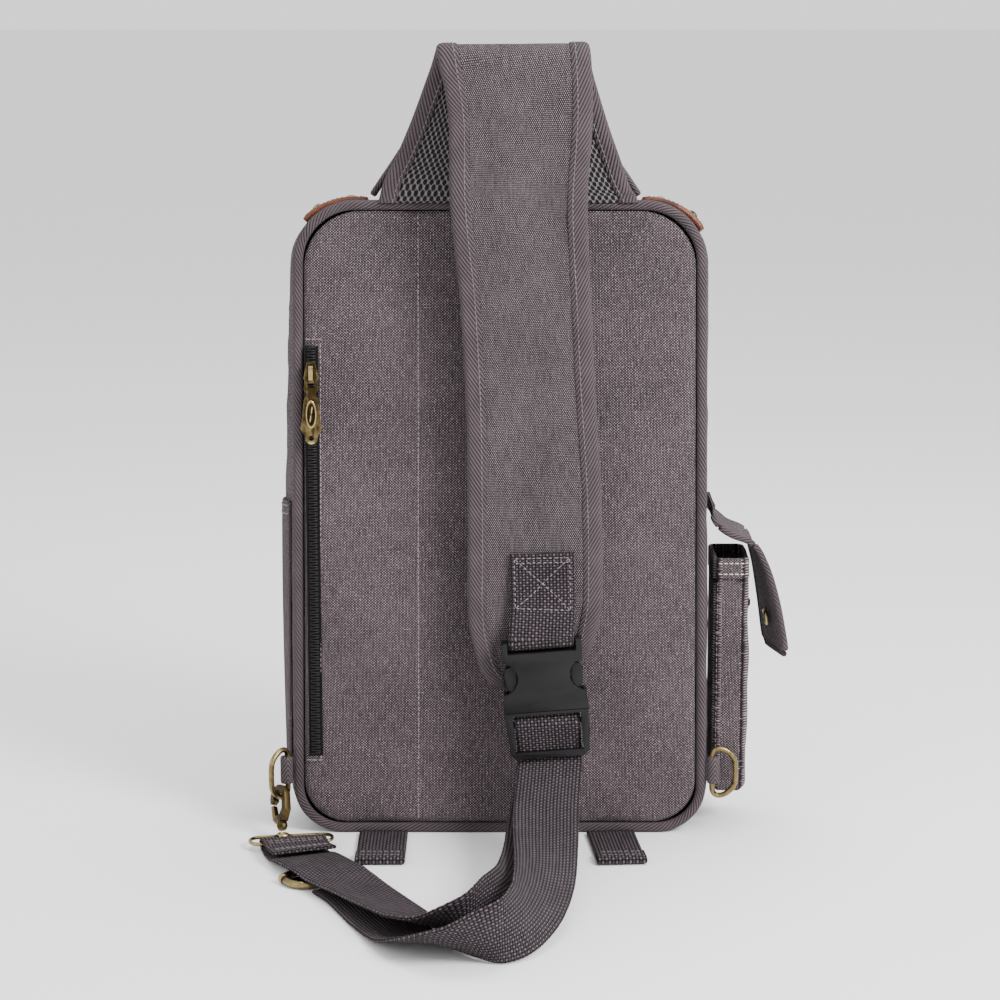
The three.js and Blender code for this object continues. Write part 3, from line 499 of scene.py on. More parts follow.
def spacer_mesh(name):
    """Open air mesh: rows of staggered cells painted near-black as the shade in their holes, between knitted
    bars whose ridges are painted paler as a sheen.
    """
    g = Graph(name, 0.75, Sheen_Weight=0.03, Specular_IOR_Level=0.2)
    u, v, vector = g.uv()
    cells = []
    for offset in (0.0, 0.5):
        a = g.math("ADD", g.math("DIVIDE", u, 3.9 * MM), offset)
        b = g.math("ADD", g.math("DIVIDE", v, 5.2 * MM), offset)
        da = g.math("SUBTRACT", g.math("FRACT", a), 0.5)
        db = g.math("MULTIPLY", g.math("SUBTRACT", g.math("FRACT", b), 0.5), 1.05)
        cells.append(g.math("SQRT", g.math("ADD", g.math("MULTIPLY", da, da), g.math("MULTIPLY", db, db))))
    near = g.math("MINIMUM", *cells)
    wobble = g.math("MULTIPLY", g.math("SUBTRACT", g.noise(vector, 1.4, 1.0), 0.5), 0.14)
    rim = g.band(g.math("ADD", near, wobble), 0.24, 0.36)
    knit = g.arch(g.math("ADD", v, g.math("MULTIPLY", u, 0.5)), 0.8)
    # the pale colour on the knit ridges is a painted sheen
    bars = g.mix(g.band(knit, 0, 1, 0.15, 0.75), tone("#3a3638"), tone("#857e80"))
    # the near-black cells are painted shade, standing in for open holes
    g.colour(g.mix(rim, tone("#0e0c0e"), bars))
    g.bump(g.math("ADD", rim, g.math("MULTIPLY", knit, 0.12)), 1.0)
    return g.material


def metal(name, dark, mid, pale, roughness):
    """Aged brass: polished on its high spots, dark in its recesses, with fine wear."""
    g = Graph(name, roughness, metallic=1.0)
    where = g.place()
    patch = g.noise(where, 3.2, 4.0)
    fine = g.noise(where, 0.5, 3.0)
    pointed = g.band(g.add("NewGeometry", {}, out=7), 0.46, 0.56)
    worn = g.math("ADD", g.math("MULTIPLY", pointed, 0.8), g.math("MULTIPLY", patch, 0.3))
    body = g.mix(g.band(worn, 0.25, 0.62), tone(dark), tone(mid))
    g.colour(g.mix(g.band(worn, 0.55, 0.95), body, tone(pale)))
    g.put(g.shader.inputs["Roughness"], g.band(g.math("ADD", patch, g.math("MULTIPLY", fine, 0.4)),
                                               0.4, 0.9, roughness - 0.08, roughness + 0.16))
    g.bump(g.math("ADD", g.math("MULTIPLY", patch, 0.5), fine), 0.05, 0.5)
    return g.material


def leather():
    """Oiled hide: fine grain, darker towards creases, lighter scuffs."""
    g = Graph("oiled_leather", 0.5, Specular_IOR_Level=0.4, Coat_Weight=0.08)
    where = g.place()
    grain = g.add("TexVoronoi", {"Vector": where, "Scale": 1 / (1.1 * MM)}, feature="DISTANCE_TO_EDGE")
    creases = g.band(grain, 0.0, 0.18)
    cloud = g.noise(where, 12.0, 4.0)
    body = g.mix(g.band(cloud, 0.3, 0.7), tone("#42200f"), tone("#7c3f20"))
    g.colour(g.mix(creases, tone("#3c1a0a"), body))
    g.put(g.shader.inputs["Roughness"], g.band(cloud, 0.3, 0.7, 0.62, 0.42))
    g.bump(g.math("ADD", creases, g.noise(where, 0.4, 2.0)), 0.12, 0.7)
    return g.material


def plastic(name, code, roughness, grain=0.03):
    """Moulded plastic with a fine satin grain and faint handling marks."""
    g = Graph(name, roughness, Specular_IOR_Level=0.22)
    where = g.place()
    cloud = g.noise(where, 9.0, 3.0)
    base = tone(code)
    light = [c * 1.5 for c in base[:3]] + [1.0]
    g.colour(g.mix(g.band(cloud, 0.35, 0.75), base, light))
    g.put(g.shader.inputs["Roughness"], g.band(cloud, 0.3, 0.7, roughness - 0.07, roughness + 0.07))
    g.bump(g.noise(where, 0.25, 2.0), grain, 0.6)
    return g.material


def yarn(name, code, light_code):
    """Twisted sewing thread."""
    g = Graph(name, 0.75, Sheen_Weight=0.2)
    where = g.place()
    ply = g.noise(where, 0.35, 1.0)
    tint = g.noise(where, 6.0, 2.0)
    mix = g.math("ADD", g.math("MULTIPLY", ply, 0.6), g.math("MULTIPLY", tint, 0.4))
    g.colour(g.mix(g.band(mix, 0.3, 0.7), tone(code), tone(light_code)))
    g.bump(ply, 0.08, 0.6)
    return g.material


# In each woven and twill cloth, the darkest colour is painted shade in the gaps and grooves, and the palest
# is partly a painted highlight on the crowns.
CANVAS = woven("washed_canvas", "#0f0b0d", "#4e4348", "#aa9a9f", 0.86, 0.8, 0.45, fleck=0.35)
STRAP_CANVAS = woven("strap_canvas_cloth", "#0c090a", "#4a4044", "#b4a5a9", 1.12, 1.02, 0.6, fleck=0.2)
WEBBING = woven("cotton_webbing", "#0b080a", "#4b4147", "#6b5f65", 2.0, 1.6, 1.3, fleck=0.0)
LINING = woven("lining_cloth", "#141314", "#262427", "#343134", 0.5, 0.5, 0.08, fleck=0.0)
TAPE = twill("twill_tape", "#0a0809", "#5d5256", 2.0, 0.8)
HERRINGBONE = twill("herringbone_tape", "#0c090a", "#62575a", 1.8, 0.7, herringbone=4.5)
ZIP_TAPE = twill("zip_tape", "#080708", "#171516", 0.7, 0.12)
MESH = spacer_mesh("air_mesh")
BRASS = metal("antique_brass", "#0c0804", "#40341e", "#b8a474", 0.26)
DARK_BRASS = metal("dark_brass", "#080603", "#2a2115", "#75633f", 0.36)
LEATHER = leather()
BUCKLE = plastic("buckle_plastic", "#0e0e0f", 0.4)
COIL = plastic("zip_coil", "#131112", 0.42, 0.01)
FOAM = plastic("foam", "#b9b4aa", 0.9, 0.2)
THREAD_TAN = yarn("tan_thread", "#635759", "#94878a")
THREAD_PALE = yarn("pale_thread", "#b3a79f", "#e6ddd2")
THREAD_DARK = yarn("dark_thread", "#3d3638", "#6f6568")


def put_on(piece, body, material, *nodes):
    """Gives a new piece its material and, where a body is named, its body, and hides the CAD nodes it stands
    for.
    """
    piece.data.materials.clear()
    piece.data.materials.append(material)
    if body:
        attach(piece, body)
    if nodes:
        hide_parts(*nodes)
    return piece


def dress(node, material, edge=0.0, level=0):
    """Keeps a CAD node, with a better material, softened edges and smooth faces."""
    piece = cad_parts[node]
    piece.data.materials.clear()
    piece.data.materials.append(material)
    weld = piece.modifiers.new("weld", "WELD")
    weld.merge_threshold = 1e-6
    if edge:
        bevel = piece.modifiers.new("edges", "BEVEL")
        bevel.width = edge * MM
        bevel.segments = 3
        bevel.limit_method = "ANGLE"
        bevel.angle_limit = math.radians(28)
        bevel.harden_normals = True
    if level:
        rounding = piece.modifiers.new("rounding", "SUBSURF")
        rounding.levels = level
        rounding.render_levels = level
    for face in piece.data.polygons:
        face.use_smooth = True


# ---------- bag body ----------
def fill_outline(name, rim, profile, steps, spine, move):
    """A panel filled from its spine to its rim. profile gives (share of the way, depth in Y)."""
    loops = []
    for share, y in profile:
        loop = []
        for i in range(steps):
            x, z, _, _ = rim.at(rim.length * i / steps)
            sz = min(max(z, spine[0]), spine[1])
            p = Vector((x * share, y, sz + (z - sz) * share))
            loop.append(settle(move(p, share)))
        loops.append(loop)
    return rings(name, loops, flat_uv=lambda p: (p.x, p.z))


SEAM_X = -47.0             # the vertical sewn line on the back panel


def back_relief(x, z, share):
    """How far the back cloth stands off its flat plane: rounded edge, sewn line, soft waves."""
    edge = min(1.0, (1 - share) * 16)
    swell = 0.9 * (1 - (1 - edge) ** 2)
    seam = 0.75 * math.exp(-((x - SEAM_X) / 3.0) ** 2)
    waves = 0.55 * ripple(x, 4, z, 46) + 0.25 * ripple(x, 9, z, 17)
    return swell - seam + waves * edge


def back_point(x, z):
    """A point on the back panel's face, for things sewn on it."""
    share = max(abs(x) / PANEL_HALF, 0.0)
    return settle(Vector((x, BACK_FACE + 0.7 - back_relief(x, z, min(share, 0.97)), z)))


def build_body():
    shares = [0.0, 0.1, 0.2, 0.3, 0.37, 0.385, 0.397, 0.407, 0.416, 0.425, 0.435, 0.45]
    shares += [0.5, 0.56, 0.63, 0.7, 0.77]
    shares += [0.83, 0.87, 0.9, 0.92, 0.94, 0.957, 0.97, 0.983, 0.993, 1.0]

    def face(p, share):
        drop = 2.2 * max(0.0, (share - 0.95) / 0.05) ** 2
        return Vector((p.x, BACK_FACE + 0.7 + drop - back_relief(p.x, p.z, share), p.z))

    profile = [(s, 0.0) for s in shares]
    piece = fill_outline("back_panel_cloth", panel_rim, profile, 240, (112, 300), face)
    put_on(piece, "bag", CANVAS, "back_panel", "back_foam")

    def front_face(p, share):
        drop = 2.4 * max(0.0, (share - 0.94) / 0.06) ** 2
        swell = 1.2 * (1 - share ** 4) + 0.6 * ripple(p.x, 40, p.z, 40)
        return Vector((p.x, FRONT_SEAM + 6.2 - drop + swell * min(1.0, (1 - share) * 12), p.z))

    piece = fill_outline("front_panel_cloth", panel_rim, profile, 240, (112, 300), front_face)
    put_on(piece, "bag", CANVAS, "front_panel")

    loops = []
    columns = 18
    count = 300
    for i in range(count):
        d = gusset_rim.length * i / count
        outer, inner = [], []
        for j in range(columns + 1):
            share = j / columns
            y = BACK_SEAM + (FRONT_SEAM - BACK_SEAM) * share
            fade = math.sin(math.pi * share)
            dent = 1.5 * abs(ripple(d, y, 3, 34)) + 0.6 * abs(ripple(d, y, 8, 13))
            outer.append(on_gusset(d, y, CLOTH / 2 - dent * fade))
            inner.append(on_gusset(d, y, -CLOTH / 2 - dent * fade))
        loops.append(outer + inner[::-1])
    piece = rings("gusset_cloth", loops, joined=True)
    put_on(piece, "bag", CANVAS, "gusset_right", "gusset_left", "gusset_top", "gusset_bottom")

    for side, y in (("back", BACK_SEAM - GAP - PIPING_R), ("front", FRONT_SEAM + GAP + PIPING_R)):
        path = []
        for i in range(360):
            x, z, _, _ = piping_rim.at(piping_rim.length * i / 360)
            path.append(settle(Vector((x, y, z))))
        cord = tube(f"{side}_piping_tape", path, PIPING_R + 0.1, 12, joined=True, normal=Y)
        put_on(cord, "bag", TAPE, f"{side}_piping")

    row = [(back_point(SEAM_X, z) - Y * 0.15, -Y) for z in range(9, 370, 3)]
    put_on(stitches("back_seam_stitches", [row]), "bag", THREAD_TAN)
    dress("lining", LINING)
    dress("base_board", FOAM)


# ---------- zips ----------
ZIP_FACE = 8.4             # the part of the zip tape that shows between the cut edges
COIL_HALF = 2.6


def coil_teeth(name, stations, pitch=1.6):
    """The meshed coil: short rounded bars across the zip, alternately from each side."""
    points, faces = [], []
    length = stations[-1].run
    shoulder = COIL_HALF - 0.5
    bar = ((-COIL_HALF, 0.2), (-shoulder, 0.95), (0.0, 1.3), (shoulder, 0.95), (COIL_HALF, 0.2))
    for k in range(int(length / pitch)):
        f = frame_at(stations, k * pitch + pitch / 2)
        along = f.side.cross(f.normal)
        lean = 0.35 if k % 2 else -0.35
        base = len(points)
        for a, rise in bar:
            for t, b in ((-0.5, 0.0), (-0.36, 0.45), (0.36, 0.45), (0.5, 0.0), (0.36, -0.3), (-0.36, -0.3)):
                points.append(f.point(a, rise + b) + along * (t + lean * a / 4))
        for ring in range(4):
            for t in range(6):
                low = base + 6 * ring
                faces.append([low + t, low + (t + 1) % 6, low + 6 + (t + 1) % 6, low + 6 + t])
        faces += [[base + t for t in range(6)], [base + 24 + t for t in range(6)]]
    uvs = [(points[k].x, points[k].z) for face in faces for k in face]
    return build(name, points, faces, uvs)


def straight_frames(start, end, side, normal, count=40):
    length = (end - start).length
    made = []
    for i in range(count + 1):
        t = i / count
        made.append(Frame(start.lerp(end, t), side, normal, 0.0, length * t))
    return made


def medallion(zip_name, at, along, outward):
    """A plain sunk oval with a raised rim, on the pull's flared part."""
    side = outward.cross(along).normalized()
    half_long, half_wide, steps = 8.4, 3.1, 28
    profile = [(1.0, -0.2), (1.0, 0.36), (0.92, 0.6), (0.8, 0.6), (0.7, 0.25), (0.35, 0.2), (0.01, 0.2)]
    loops = []
    for scale, rise in profile:
        turn = [2 * math.pi * k / steps for k in range(steps)]
        loops.append([at + along * half_long * scale * math.cos(t) + side * half_wide * scale * math.sin(t)
                      + outward * rise for t in turn])
    put_on(rings(f"{zip_name}_medallion", loops), f"{zip_name}_pull", BRASS)


def build_zips():
    zip_x, zip_y = -109.5, BACK_FACE - GAP
    down = straight_frames(Vector((zip_x, zip_y, 294)), Vector((zip_x, zip_y, 48.5)), X, -Y)
    low, high = gusset_rim.right_at(215), gusset_rim.left_at(215)
    over = gusset_frames(low, high, 7.5, 1.2)
    across = straight_frames(Vector((-80, 45.5, 172)), Vector((80, 45.5, 172)), Z, Y)
    for name, stations in (("back_zip", down), ("top_zip", over), ("front_zip", across)):
        tape = sweep(f"{name}_tape_cloth", stations, lambda f: flat_section(ZIP_FACE, 0.8, 4))
        put_on(tape, "bag", ZIP_TAPE, f"{name}_tape")
        put_on(coil_teeth(f"{name}_teeth", stations), "bag", COIL, f"{name}_coil")
    for name in ("back_zip", "top_zip", "front_zip"):
        dress(f"{name}_slider", BRASS, 0.35)
        dress(f"{name}_pull", BRASS, 0.4)
    medallion("back_zip", Vector((zip_x, -52.75, 255)), -Z, -Y)
    medallion("front_zip", Vector((48, 52.65, 172)), -X, Y)

    rows = [[(back_point(-103.2, z) - Y * 0.1, -Y) for z in range(46, 298, 3)]]
    for z in (297, 45.5):
        rows.append([(back_point(x, z) - Y * 0.1, -Y) for x in range(-112, -101, 2)])
    put_on(stitches("back_zip_stitches", rows), "bag", THREAD_TAN)
    rows = []
    for y in (0.2, 14.8):
        seam = gusset_frames(low, high, y, CLOTH / 2 + 0.05)
        rows.append([(f.at, f.normal) for f in seam])
    put_on(stitches("top_zip_stitches", rows), "bag", THREAD_DARK)


# ---------- pockets ----------
def rounded_loop(cx, cy, width, depth, radius, steps=12):
    """A rounded rectangle as (x, y, outward x, outward y), anticlockwise."""
    made = []
    for qx, qy, start in ((1, 1, 0), (-1, 1, 90), (-1, -1, 180), (1, -1, 270)):
        for k in range(steps + 1):
            a = math.radians(start + 90 * k / steps)
            mx, my = cx + qx * (width / 2 - radius), cy + qy * (depth / 2 - radius)
            made.append((mx + radius * math.cos(a), my + radius * math.sin(a), math.cos(a), math.sin(a)))
    straight = []
    for a, b in zip(made, made[1:] + made[:1]):
        straight.append(a)
        gap = math.hypot(b[0] - a[0], b[1] - a[1])
        extra = int(gap / 6)
        for k in range(1, extra + 1):
            t = k / (extra + 1)
            straight.append(tuple(a[i] + (b[i] - a[i]) * t for i in range(4)))
    return straight


def nearest(outline, x, y):
    """The place in a rounded_loop that lies closest to a point."""
    return min(range(len(outline)), key=lambda k: (outline[k][0] - x) ** 2 + (outline[k][1] - y) ** 2)


def build_side_pocket():
    base = rounded_loop(137.75, -7, 21.5, 46, 5)
    low, high = 21.0, 165.0

    def wall(z, inset, seed):
        share = (z - low) / (high - low)
        loop = []
        for x, y, nx, ny in base:
            free = max(nx, 0.0) + 0.35 * abs(ny)
            sag = free * (1.0 * math.sin(math.pi * share) - 0.7 + 1.1 * ripple(x, y, z + seed, 24))
            out = min(sag, 0.8) - inset
            loop.append(Vector((x + nx * out, y + ny * out, z)))
        return loop

    levels = [low, low + 0.5, low + 1.4, low + 2.8, low + 4.5] + [low + 7 + 5 * k for k in range(26)]
    levels += [152.4, 153.2, 154.5, 158, 162, 164.2, 165]
    loops = []
    for z in levels:
        round_foot = 4.0 * max(0.0, 1 - (z - low) / 6.0) ** 2
        hem = 0.5 if 153.0 < z < 164.5 else 0.0
        loops.append(wall(z, round_foot - hem, 0))
    for z in (165.0, 163, 150, 100, 60, 30, 23.2):
        loops.append(wall(z, 1.7, 0))
    piece = rings("side_pocket_cloth", loops)
    put_on(piece, "bag", CANVAS, "side_pocket")

    def outer(z, inset=-0.55):
        return wall(z, inset, 0)

    rows = []
    top = outer(162, -0.5)
    lower = outer(155.5, -0.5)
    keep = [k for k, b in enumerate(base) if b[0] > 130]
    for loop in (top, lower):
        rows.append([(loop[k], Vector((base[k][2], base[k][3], 0))) for k in keep])
    put_on(stitches("side_pocket_hem_stitches", rows), "bag", THREAD_PALE)
    rows = []
    for k in (nearest(base, 129, 16), nearest(base, 129, -30), nearest(base, 132.5, -30)):
        outward = Vector((base[k][2], base[k][3], 0))
        rows.append([(outer(z, 0)[k], outward) for z in range(25, 152, 3)])
    put_on(stitches("side_pocket_seam_stitches", rows), "bag", THREAD_DARK)


FLAP_ROUTE = [(126.6, 197), (126.8, 189), (136, 180), (149.5, 173.5), (156, 160), (161.5, 138), (167, 105)]
FLAP_TWIST = [0, 0, 0, -0.04, -0.1, -0.16, -0.2]


def build_flap():
    keys = [((x, -7, z), (twist, 1, 0), 48) for (x, z), twist in zip(FLAP_ROUTE, FLAP_TWIST)]
    frames = strip_frames(keys, 8)
    end = frames[-1].run

    def width(f):
        tip = max(0.0, (f.run - end + 9) / 9)
        return 48 - 12 * (1 - math.sqrt(max(0.0, 1 - tip * tip)))

    flap = sweep("side_flap_cloth", frames, lambda f: flat_section(width(f) - 2, 2.0, 12, dish=0.3))
    put_on(flap, "side_flap", CANVAS, "side_flap")
    rail = []
    for f in frames[6:]:
        rail.append(f.point(width(f) / 2 - 1, 0))
    tip = frames[-1]
    for k in range(1, 8):
        rail.append(tip.point((width(tip) / 2 - 1) * (1 - k / 4), 0))
    for f in reversed(frames[6:]):
        rail.append(f.point(1 - width(f) / 2, 0))
    put_on(tube("side_flap_binding", rail, 1.9, 10, normal=None), "side_flap", TAPE)
    rows = []
    for sign in (-1, 1):
        rows.append([(f.point(sign * (width(f) / 2 - 4.2), -1.05), -f.normal) for f in frames[8:]])
        rows.append([(f.point(sign * (width(f) / 2 - 4.2), 1.05), f.normal) for f in frames[8:]])
    put_on(stitches("side_flap_stitches", rows), "side_flap", THREAD_DARK)


def build_snaps():
    out = X
    stud = [(4.9, 0), (5.0, 0.6), (4.4, 1.0), (3.4, 0.8), (2.6, 0.9), (2.3, 2.0), (1.4, 2.3), (0, 2.3)]
    put_on(lathe("snap_stud_turned", Vector((148.7, -7, 133.5)), out, stud), "bag", BRASS, "snap_stud")
    lean = Vector((math.cos(0.22), 0, math.sin(0.22)))
    socket = [(5.0, 0.9), (5.0, -0.4), (4.3, -1.0), (3.4, -1.0)]
    socket += [(3.0, -0.3), (2.2, -0.3), (2.0, 0.4), (0, 0.4)]
    piece = lathe("snap_socket_turned", Vector((160.5, -7, 124.4)), lean, socket)
    put_on(piece, "side_flap", BRASS, "snap_socket")
    cap = [(5.6, -0.7), (5.7, 0.0), (5.0, 0.6), (3.9, 0.7), (3.6, 0.45), (3.2, 0.8), (1.6, 1.1), (0, 1.2)]
    put_on(lathe("snap_cap_turned", Vector((166.8, -7, 125.6)), lean, cap), "side_flap", BRASS, "snap_cap")


def build_slip_pocket():
    low, high = gusset_rim.left_at(30), gusset_rim.left_at(201)
    piece = slab_on_gusset("slip_pocket_cloth", low, high, -33, 0, 1.2, 2.9)
    put_on(piece, "bag", CANVAS, "slip_pocket")
    rows = []
    for z in (198, 193):
        d = gusset_rim.left_at(z)
        row = []
        for y in range(-32, 0, 3):
            outward = (on_gusset(d, y, 6) - on_gusset(d, y, 3)).normalized()
            row.append((on_gusset(d, y, 3.0), outward))
        rows.append(row)
    put_on(stitches("slip_pocket_stitches", rows), "bag", THREAD_TAN)


def slab_on_gusset(name, start, end, y_low, y_high, lift_low, lift_high, columns=10, step=3.0, soft=0.5):
    """A cloth or leather layer that follows the gusset, with softened edges."""
    count = max(2, round(abs(end - start) / step))
    loops = []
    for i in range(count + 1):
        d = start + (end - start) * i / count
        ends = min(i, count - i)
        shrink = soft if ends == 0 else 0.0
        top, under = [], []
        for j in range(columns + 1):
            y = y_low + (y_high - y_low) * j / columns
            sides = soft if j in (0, columns) else 0.0
            top.append(on_gusset(d, y, lift_high - max(shrink, sides)))
            under.append(on_gusset(d, y, lift_low))
        loops.append(top + under[::-1])
    return rings(name, loops)


def build_front_pocket():
    shape = Rim(92, 14, 190, 24, 24)
    loops = []
    steps = 200
    profile = [(0.0, 44.6), (0.3, 44.6), (0.55, 44.4), (0.75, 44.1), (0.88, 43.6), (0.94, 42.8)]
    profile += [(0.975, 41.2), (0.995, 38.6), (1.0, 35.5), (1.0, 31.5), (0.998, 29.2)]
    for share, y in profile:
        loop = []
        for i in range(steps):
            x, z, _, _ = shape.at(shape.length * i / steps)
            sz = min(max(z, 80), 124)
            px, pz = x * share, sz + (z - sz) * share
            wave = 0.5 * ripple(px, 70, pz, 30) * (1 if y > 40 else 0.3)
            loop.append(Vector((px, y + wave - 0.2, pz)))
        loops.append(loop)

    def unfolded(p):
        """The cloth's own plane: the side walls are folded out round the pocket's face."""
        fold = 1 + (profile[0][1] - p.y) / shape.half
        return p.x * fold, p.z * fold

    piece = rings("front_pocket_cloth", loops, flat_uv=unfolded, caps=False)
    put_on(piece, "bag", CANVAS, "front_pocket")
    rows = []
    for inset in (5.0,):
        ring = Rim(92 - inset, 14 + inset, 190 - inset, 20, 20)
        row = []
        for i in range(241):
            x, z, nx, nz = ring.at(ring.length * i / 240)
            row.append((Vector((x, 43.4, z)), Vector((nx * 0.3, 1, nz * 0.3)).normalized()))
        rows.append(row)
    for z in (179, 165):
        rows.append([(Vector((x, 44.5, z)), Y) for x in range(-82, 83, 4)])
    put_on(stitches("front_pocket_stitches", rows), "bag", THREAD_TAN)


# ---------- top handle, patches, rivets ----------
HANDLE_WEB = 3.4           # the haul handle is two layers of tape, sewn together
PATCH_TOP = 4.6            # the hide's outer face above the gusset, over the handle's end


def build_handle():
    arch = [(-74, 379.8), (-65, 393), (-47, 417), (-24, 431), (3.5, 435)]
    arch += [(31, 431), (54, 417), (71.5, 393), (80.5, 379.8)]
    frames = strip_frames([((x, -16, z), (0, 1, 0), 25) for x, z in arch], 8)
    handle = sweep("haul_handle_web", frames, lambda f: flat_section(25, HANDLE_WEB, 8))
    put_on(handle, "haul_handle", HERRINGBONE, "haul_handle")
    rows = []
    for a in (-9.8, 9.8):
        for b in (1.75, -1.75):
            rows.append([(f.point(a, b), f.normal * (1 if b > 0 else -1)) for f in frames])
    put_on(stitches("haul_handle_stitches", rows), "haul_handle", THREAD_DARK)
    for side, near, far in (("left", -77, -114), ("right", 83, 120)):
        start, end = gusset_rim.top_at(near), gusset_rim.top_at(far)
        low, high = min(start, end), max(start, end)
        patch = slab_on_gusset(f"leather_patch_{side}_hide", low, high, -31, -1, 1.2, PATCH_TOP, 12, 1.6)
        put_on(patch, "bag", LEATHER, f"leather_patch_{side}")
        rows = []
        for y in (-28.6, -3.4):
            row = gusset_frames(low + 2.4, high - 2.4, y, PATCH_TOP + 0.05, 2.0)
            rows.append([(f.at, f.normal) for f in row])
        for d in (low + 2.4, high - 2.4):
            row = [gusset_frames(d, d + 1, -28.6 + 2.1 * k, PATCH_TOP + 0.05)[0] for k in range(13)]
            rows.append([(f.at, f.normal) for f in row])
        put_on(stitches(f"leather_patch_{side}_stitches", rows, 2.2, 0.7), "bag", THREAD_TAN)
        for i, share in enumerate((0.28, 0.76)):
            distance = start + share * (end - start)
            seat = on_gusset(distance, -16, PATCH_TOP + 0.1)
            outward = (on_gusset(distance, -16, 12) - seat).normalized()
            dome = [(4.3, 0), (4.4, 0.5), (3.9, 0.9), (3.4, 0.8)]
            dome += [(3.0, 1.2), (2.2, 1.9), (1.1, 2.3), (0, 2.4)]
            name = f"rivet_{side}_{i + 1}"
            put_on(lathe(f"{name}_turned", seat, outward, dome), "bag", BRASS, name)


# ---------- padded shoulder strap ----------
STRAP_ROUTE = [          # X, Y, Z and width, from the bag's top over the shoulder and down
    (4.5, -41.6, 377, 150), (4.5, -42, 384, 145), (5, -43, 397, 133), (5.7, -46, 422, 113),
    (6.4, -49.5, 448, 95), (6.8, -54.5, 460.5, 87), (7.4, -62.5, 463, 86), (8.6, -70, 459, 85),
    (10.4, -74, 445, 83), (11.6, -74, 426, 81), (10.6, -72.5, 381, 78), (14.5, -69, 325, 75),
    (17.6, -66, 268, 75), (20, -64, 210, 78), (20.4, -63, 151, 79), (19.4, -62.7, 129, 75),
    (19.6, -62.5, 109, 63), (22, -62.4, 99, 42),
]
STRAP_KEYS = [((x, y, z), (1, 0, 0), width) for x, y, z, width in STRAP_ROUTE]
BINDING_FACE = 11.5        # width of the binding tape on the canvas face
BINDING_UNDER = 10.5       # and on the mesh face


def build_strap():
    frames = strip_frames(STRAP_KEYS, 10)

    def pad_wave(f, a):
        return 0.35 * ripple(a, f.run, 2, 30) + 0.2 * ripple(a, f.run, 5, 12)

    def canvas(f):
        half = f.width / 2 - 3
        top = []
        for k in range(17):
            a = -half + 2 * half * k / 16
            puff = 1 - (a / half) ** 4
            top.append((a, 3.4 + 0.9 * puff + pad_wave(f, a) * puff))
        return top + [(a, -0.2) for a, _ in reversed(top)]

    def mesh(f):
        half = f.width / 2 - 3
        low = []
        for k in range(17):
            a = -half + 2 * half * k / 16
            puff = 1 - (a / half) ** 4
            low.append((a, -3.2 - 0.8 * puff))
        return [(a, -0.3) for a, _ in low] + low[::-1]

    pad = sweep("strap_canvas_pad", frames, canvas)
    put_on(pad, "bag", STRAP_CANVAS, "strap_canvas", "strap_foam")
    under = sweep("strap_mesh_pad", frames, mesh)
    put_on(under, "bag", MESH, "strap_mesh")

    for side, sign in (("left", -1), ("right", 1)):
        def fold(f, sign=sign):
            edge = f.width / 2
            face = min(BINDING_FACE, f.width / 2 - 4)
            back = min(BINDING_UNDER, f.width / 2 - 4)
            outer = [(face, 4.35), (face - 0.5, 4.75), (face * 0.6, 4.8), (face * 0.3, 4.7)]
            outer += [(1.6, 4.2), (0.4, 3.0), (0.0, 1.0), (0.0, -1.2), (0.5, -3.0), (1.7, -4.2)]
            outer += [(back * 0.5, -4.7), (back - 0.4, -4.6), (back, -4.2)]
            inner = [(back, -3.6), (2.4, -3.4), (1.2, -2.0), (1.2, 2.0), (2.4, 3.4), (face, 3.9)]
            return [(sign * (edge - inset), b) for inset, b in outer + inner]

        tape = sweep(f"strap_binding_{side}_tape", frames, fold)
        put_on(tape, "bag", TAPE, f"strap_binding_{side}")
        face_row, under_row = [], []
        for f in frames:
            if f.width < 40:
                continue
            face_row.append((f.point(sign * (f.width / 2 - 8.6), 4.85), f.normal))
            under_row.append((f.point(sign * (f.width / 2 - 8.4), -4.72), -f.normal))
        rows = [face_row, under_row]
        put_on(stitches(f"strap_binding_{side}_stitches", rows, 2.4, 0.7), "bag", THREAD_DARK)


PICK = 2.5                 # one weft pick and its return, along the webbing


def selvedge(width, run):
    """The webbing's width where its edge is scalloped by the returning weft."""
    return width - 0.35 + 0.35 * math.cos(2 * math.pi * run / PICK)


TAB_KEYS = [
    ((24.2, -68.9, 176), (1, 0, 0)), ((24.6, -69.2, 160), (1, 0, 0)),
    ((24.9, -71.4, 146), (1, 0, 0.08)), ((24.1, -77.4, 132.4), (1, 0, 0.08)),
    ((23.8, -79.3, 127.4), (1, 0, 0.08)), ((24, -79.2, 124.4), (1, 0, 0.08)),
    ((24.1, -75.4, 121.9), (1, 0, 0.08)), ((24, -71.6, 124.4), (1, 0, 0.08)),
    ((23.7, -71.2, 128), (1, 0, 0.08)), ((23.3, -71, 134), (1, 0, 0.08)),
]


def line_on(frames, start, end, lift, count=14):
    """A straight row on a strip between two (run, across) points."""
    row = []
    for k in range(count + 1):
        t = k / count
        f = frame_at(frames, start[0] + (end[0] - start[0]) * t)
        row.append((f.point(start[1] + (end[1] - start[1]) * t, lift), f.normal * (1 if lift > 0 else -1)))
    return row


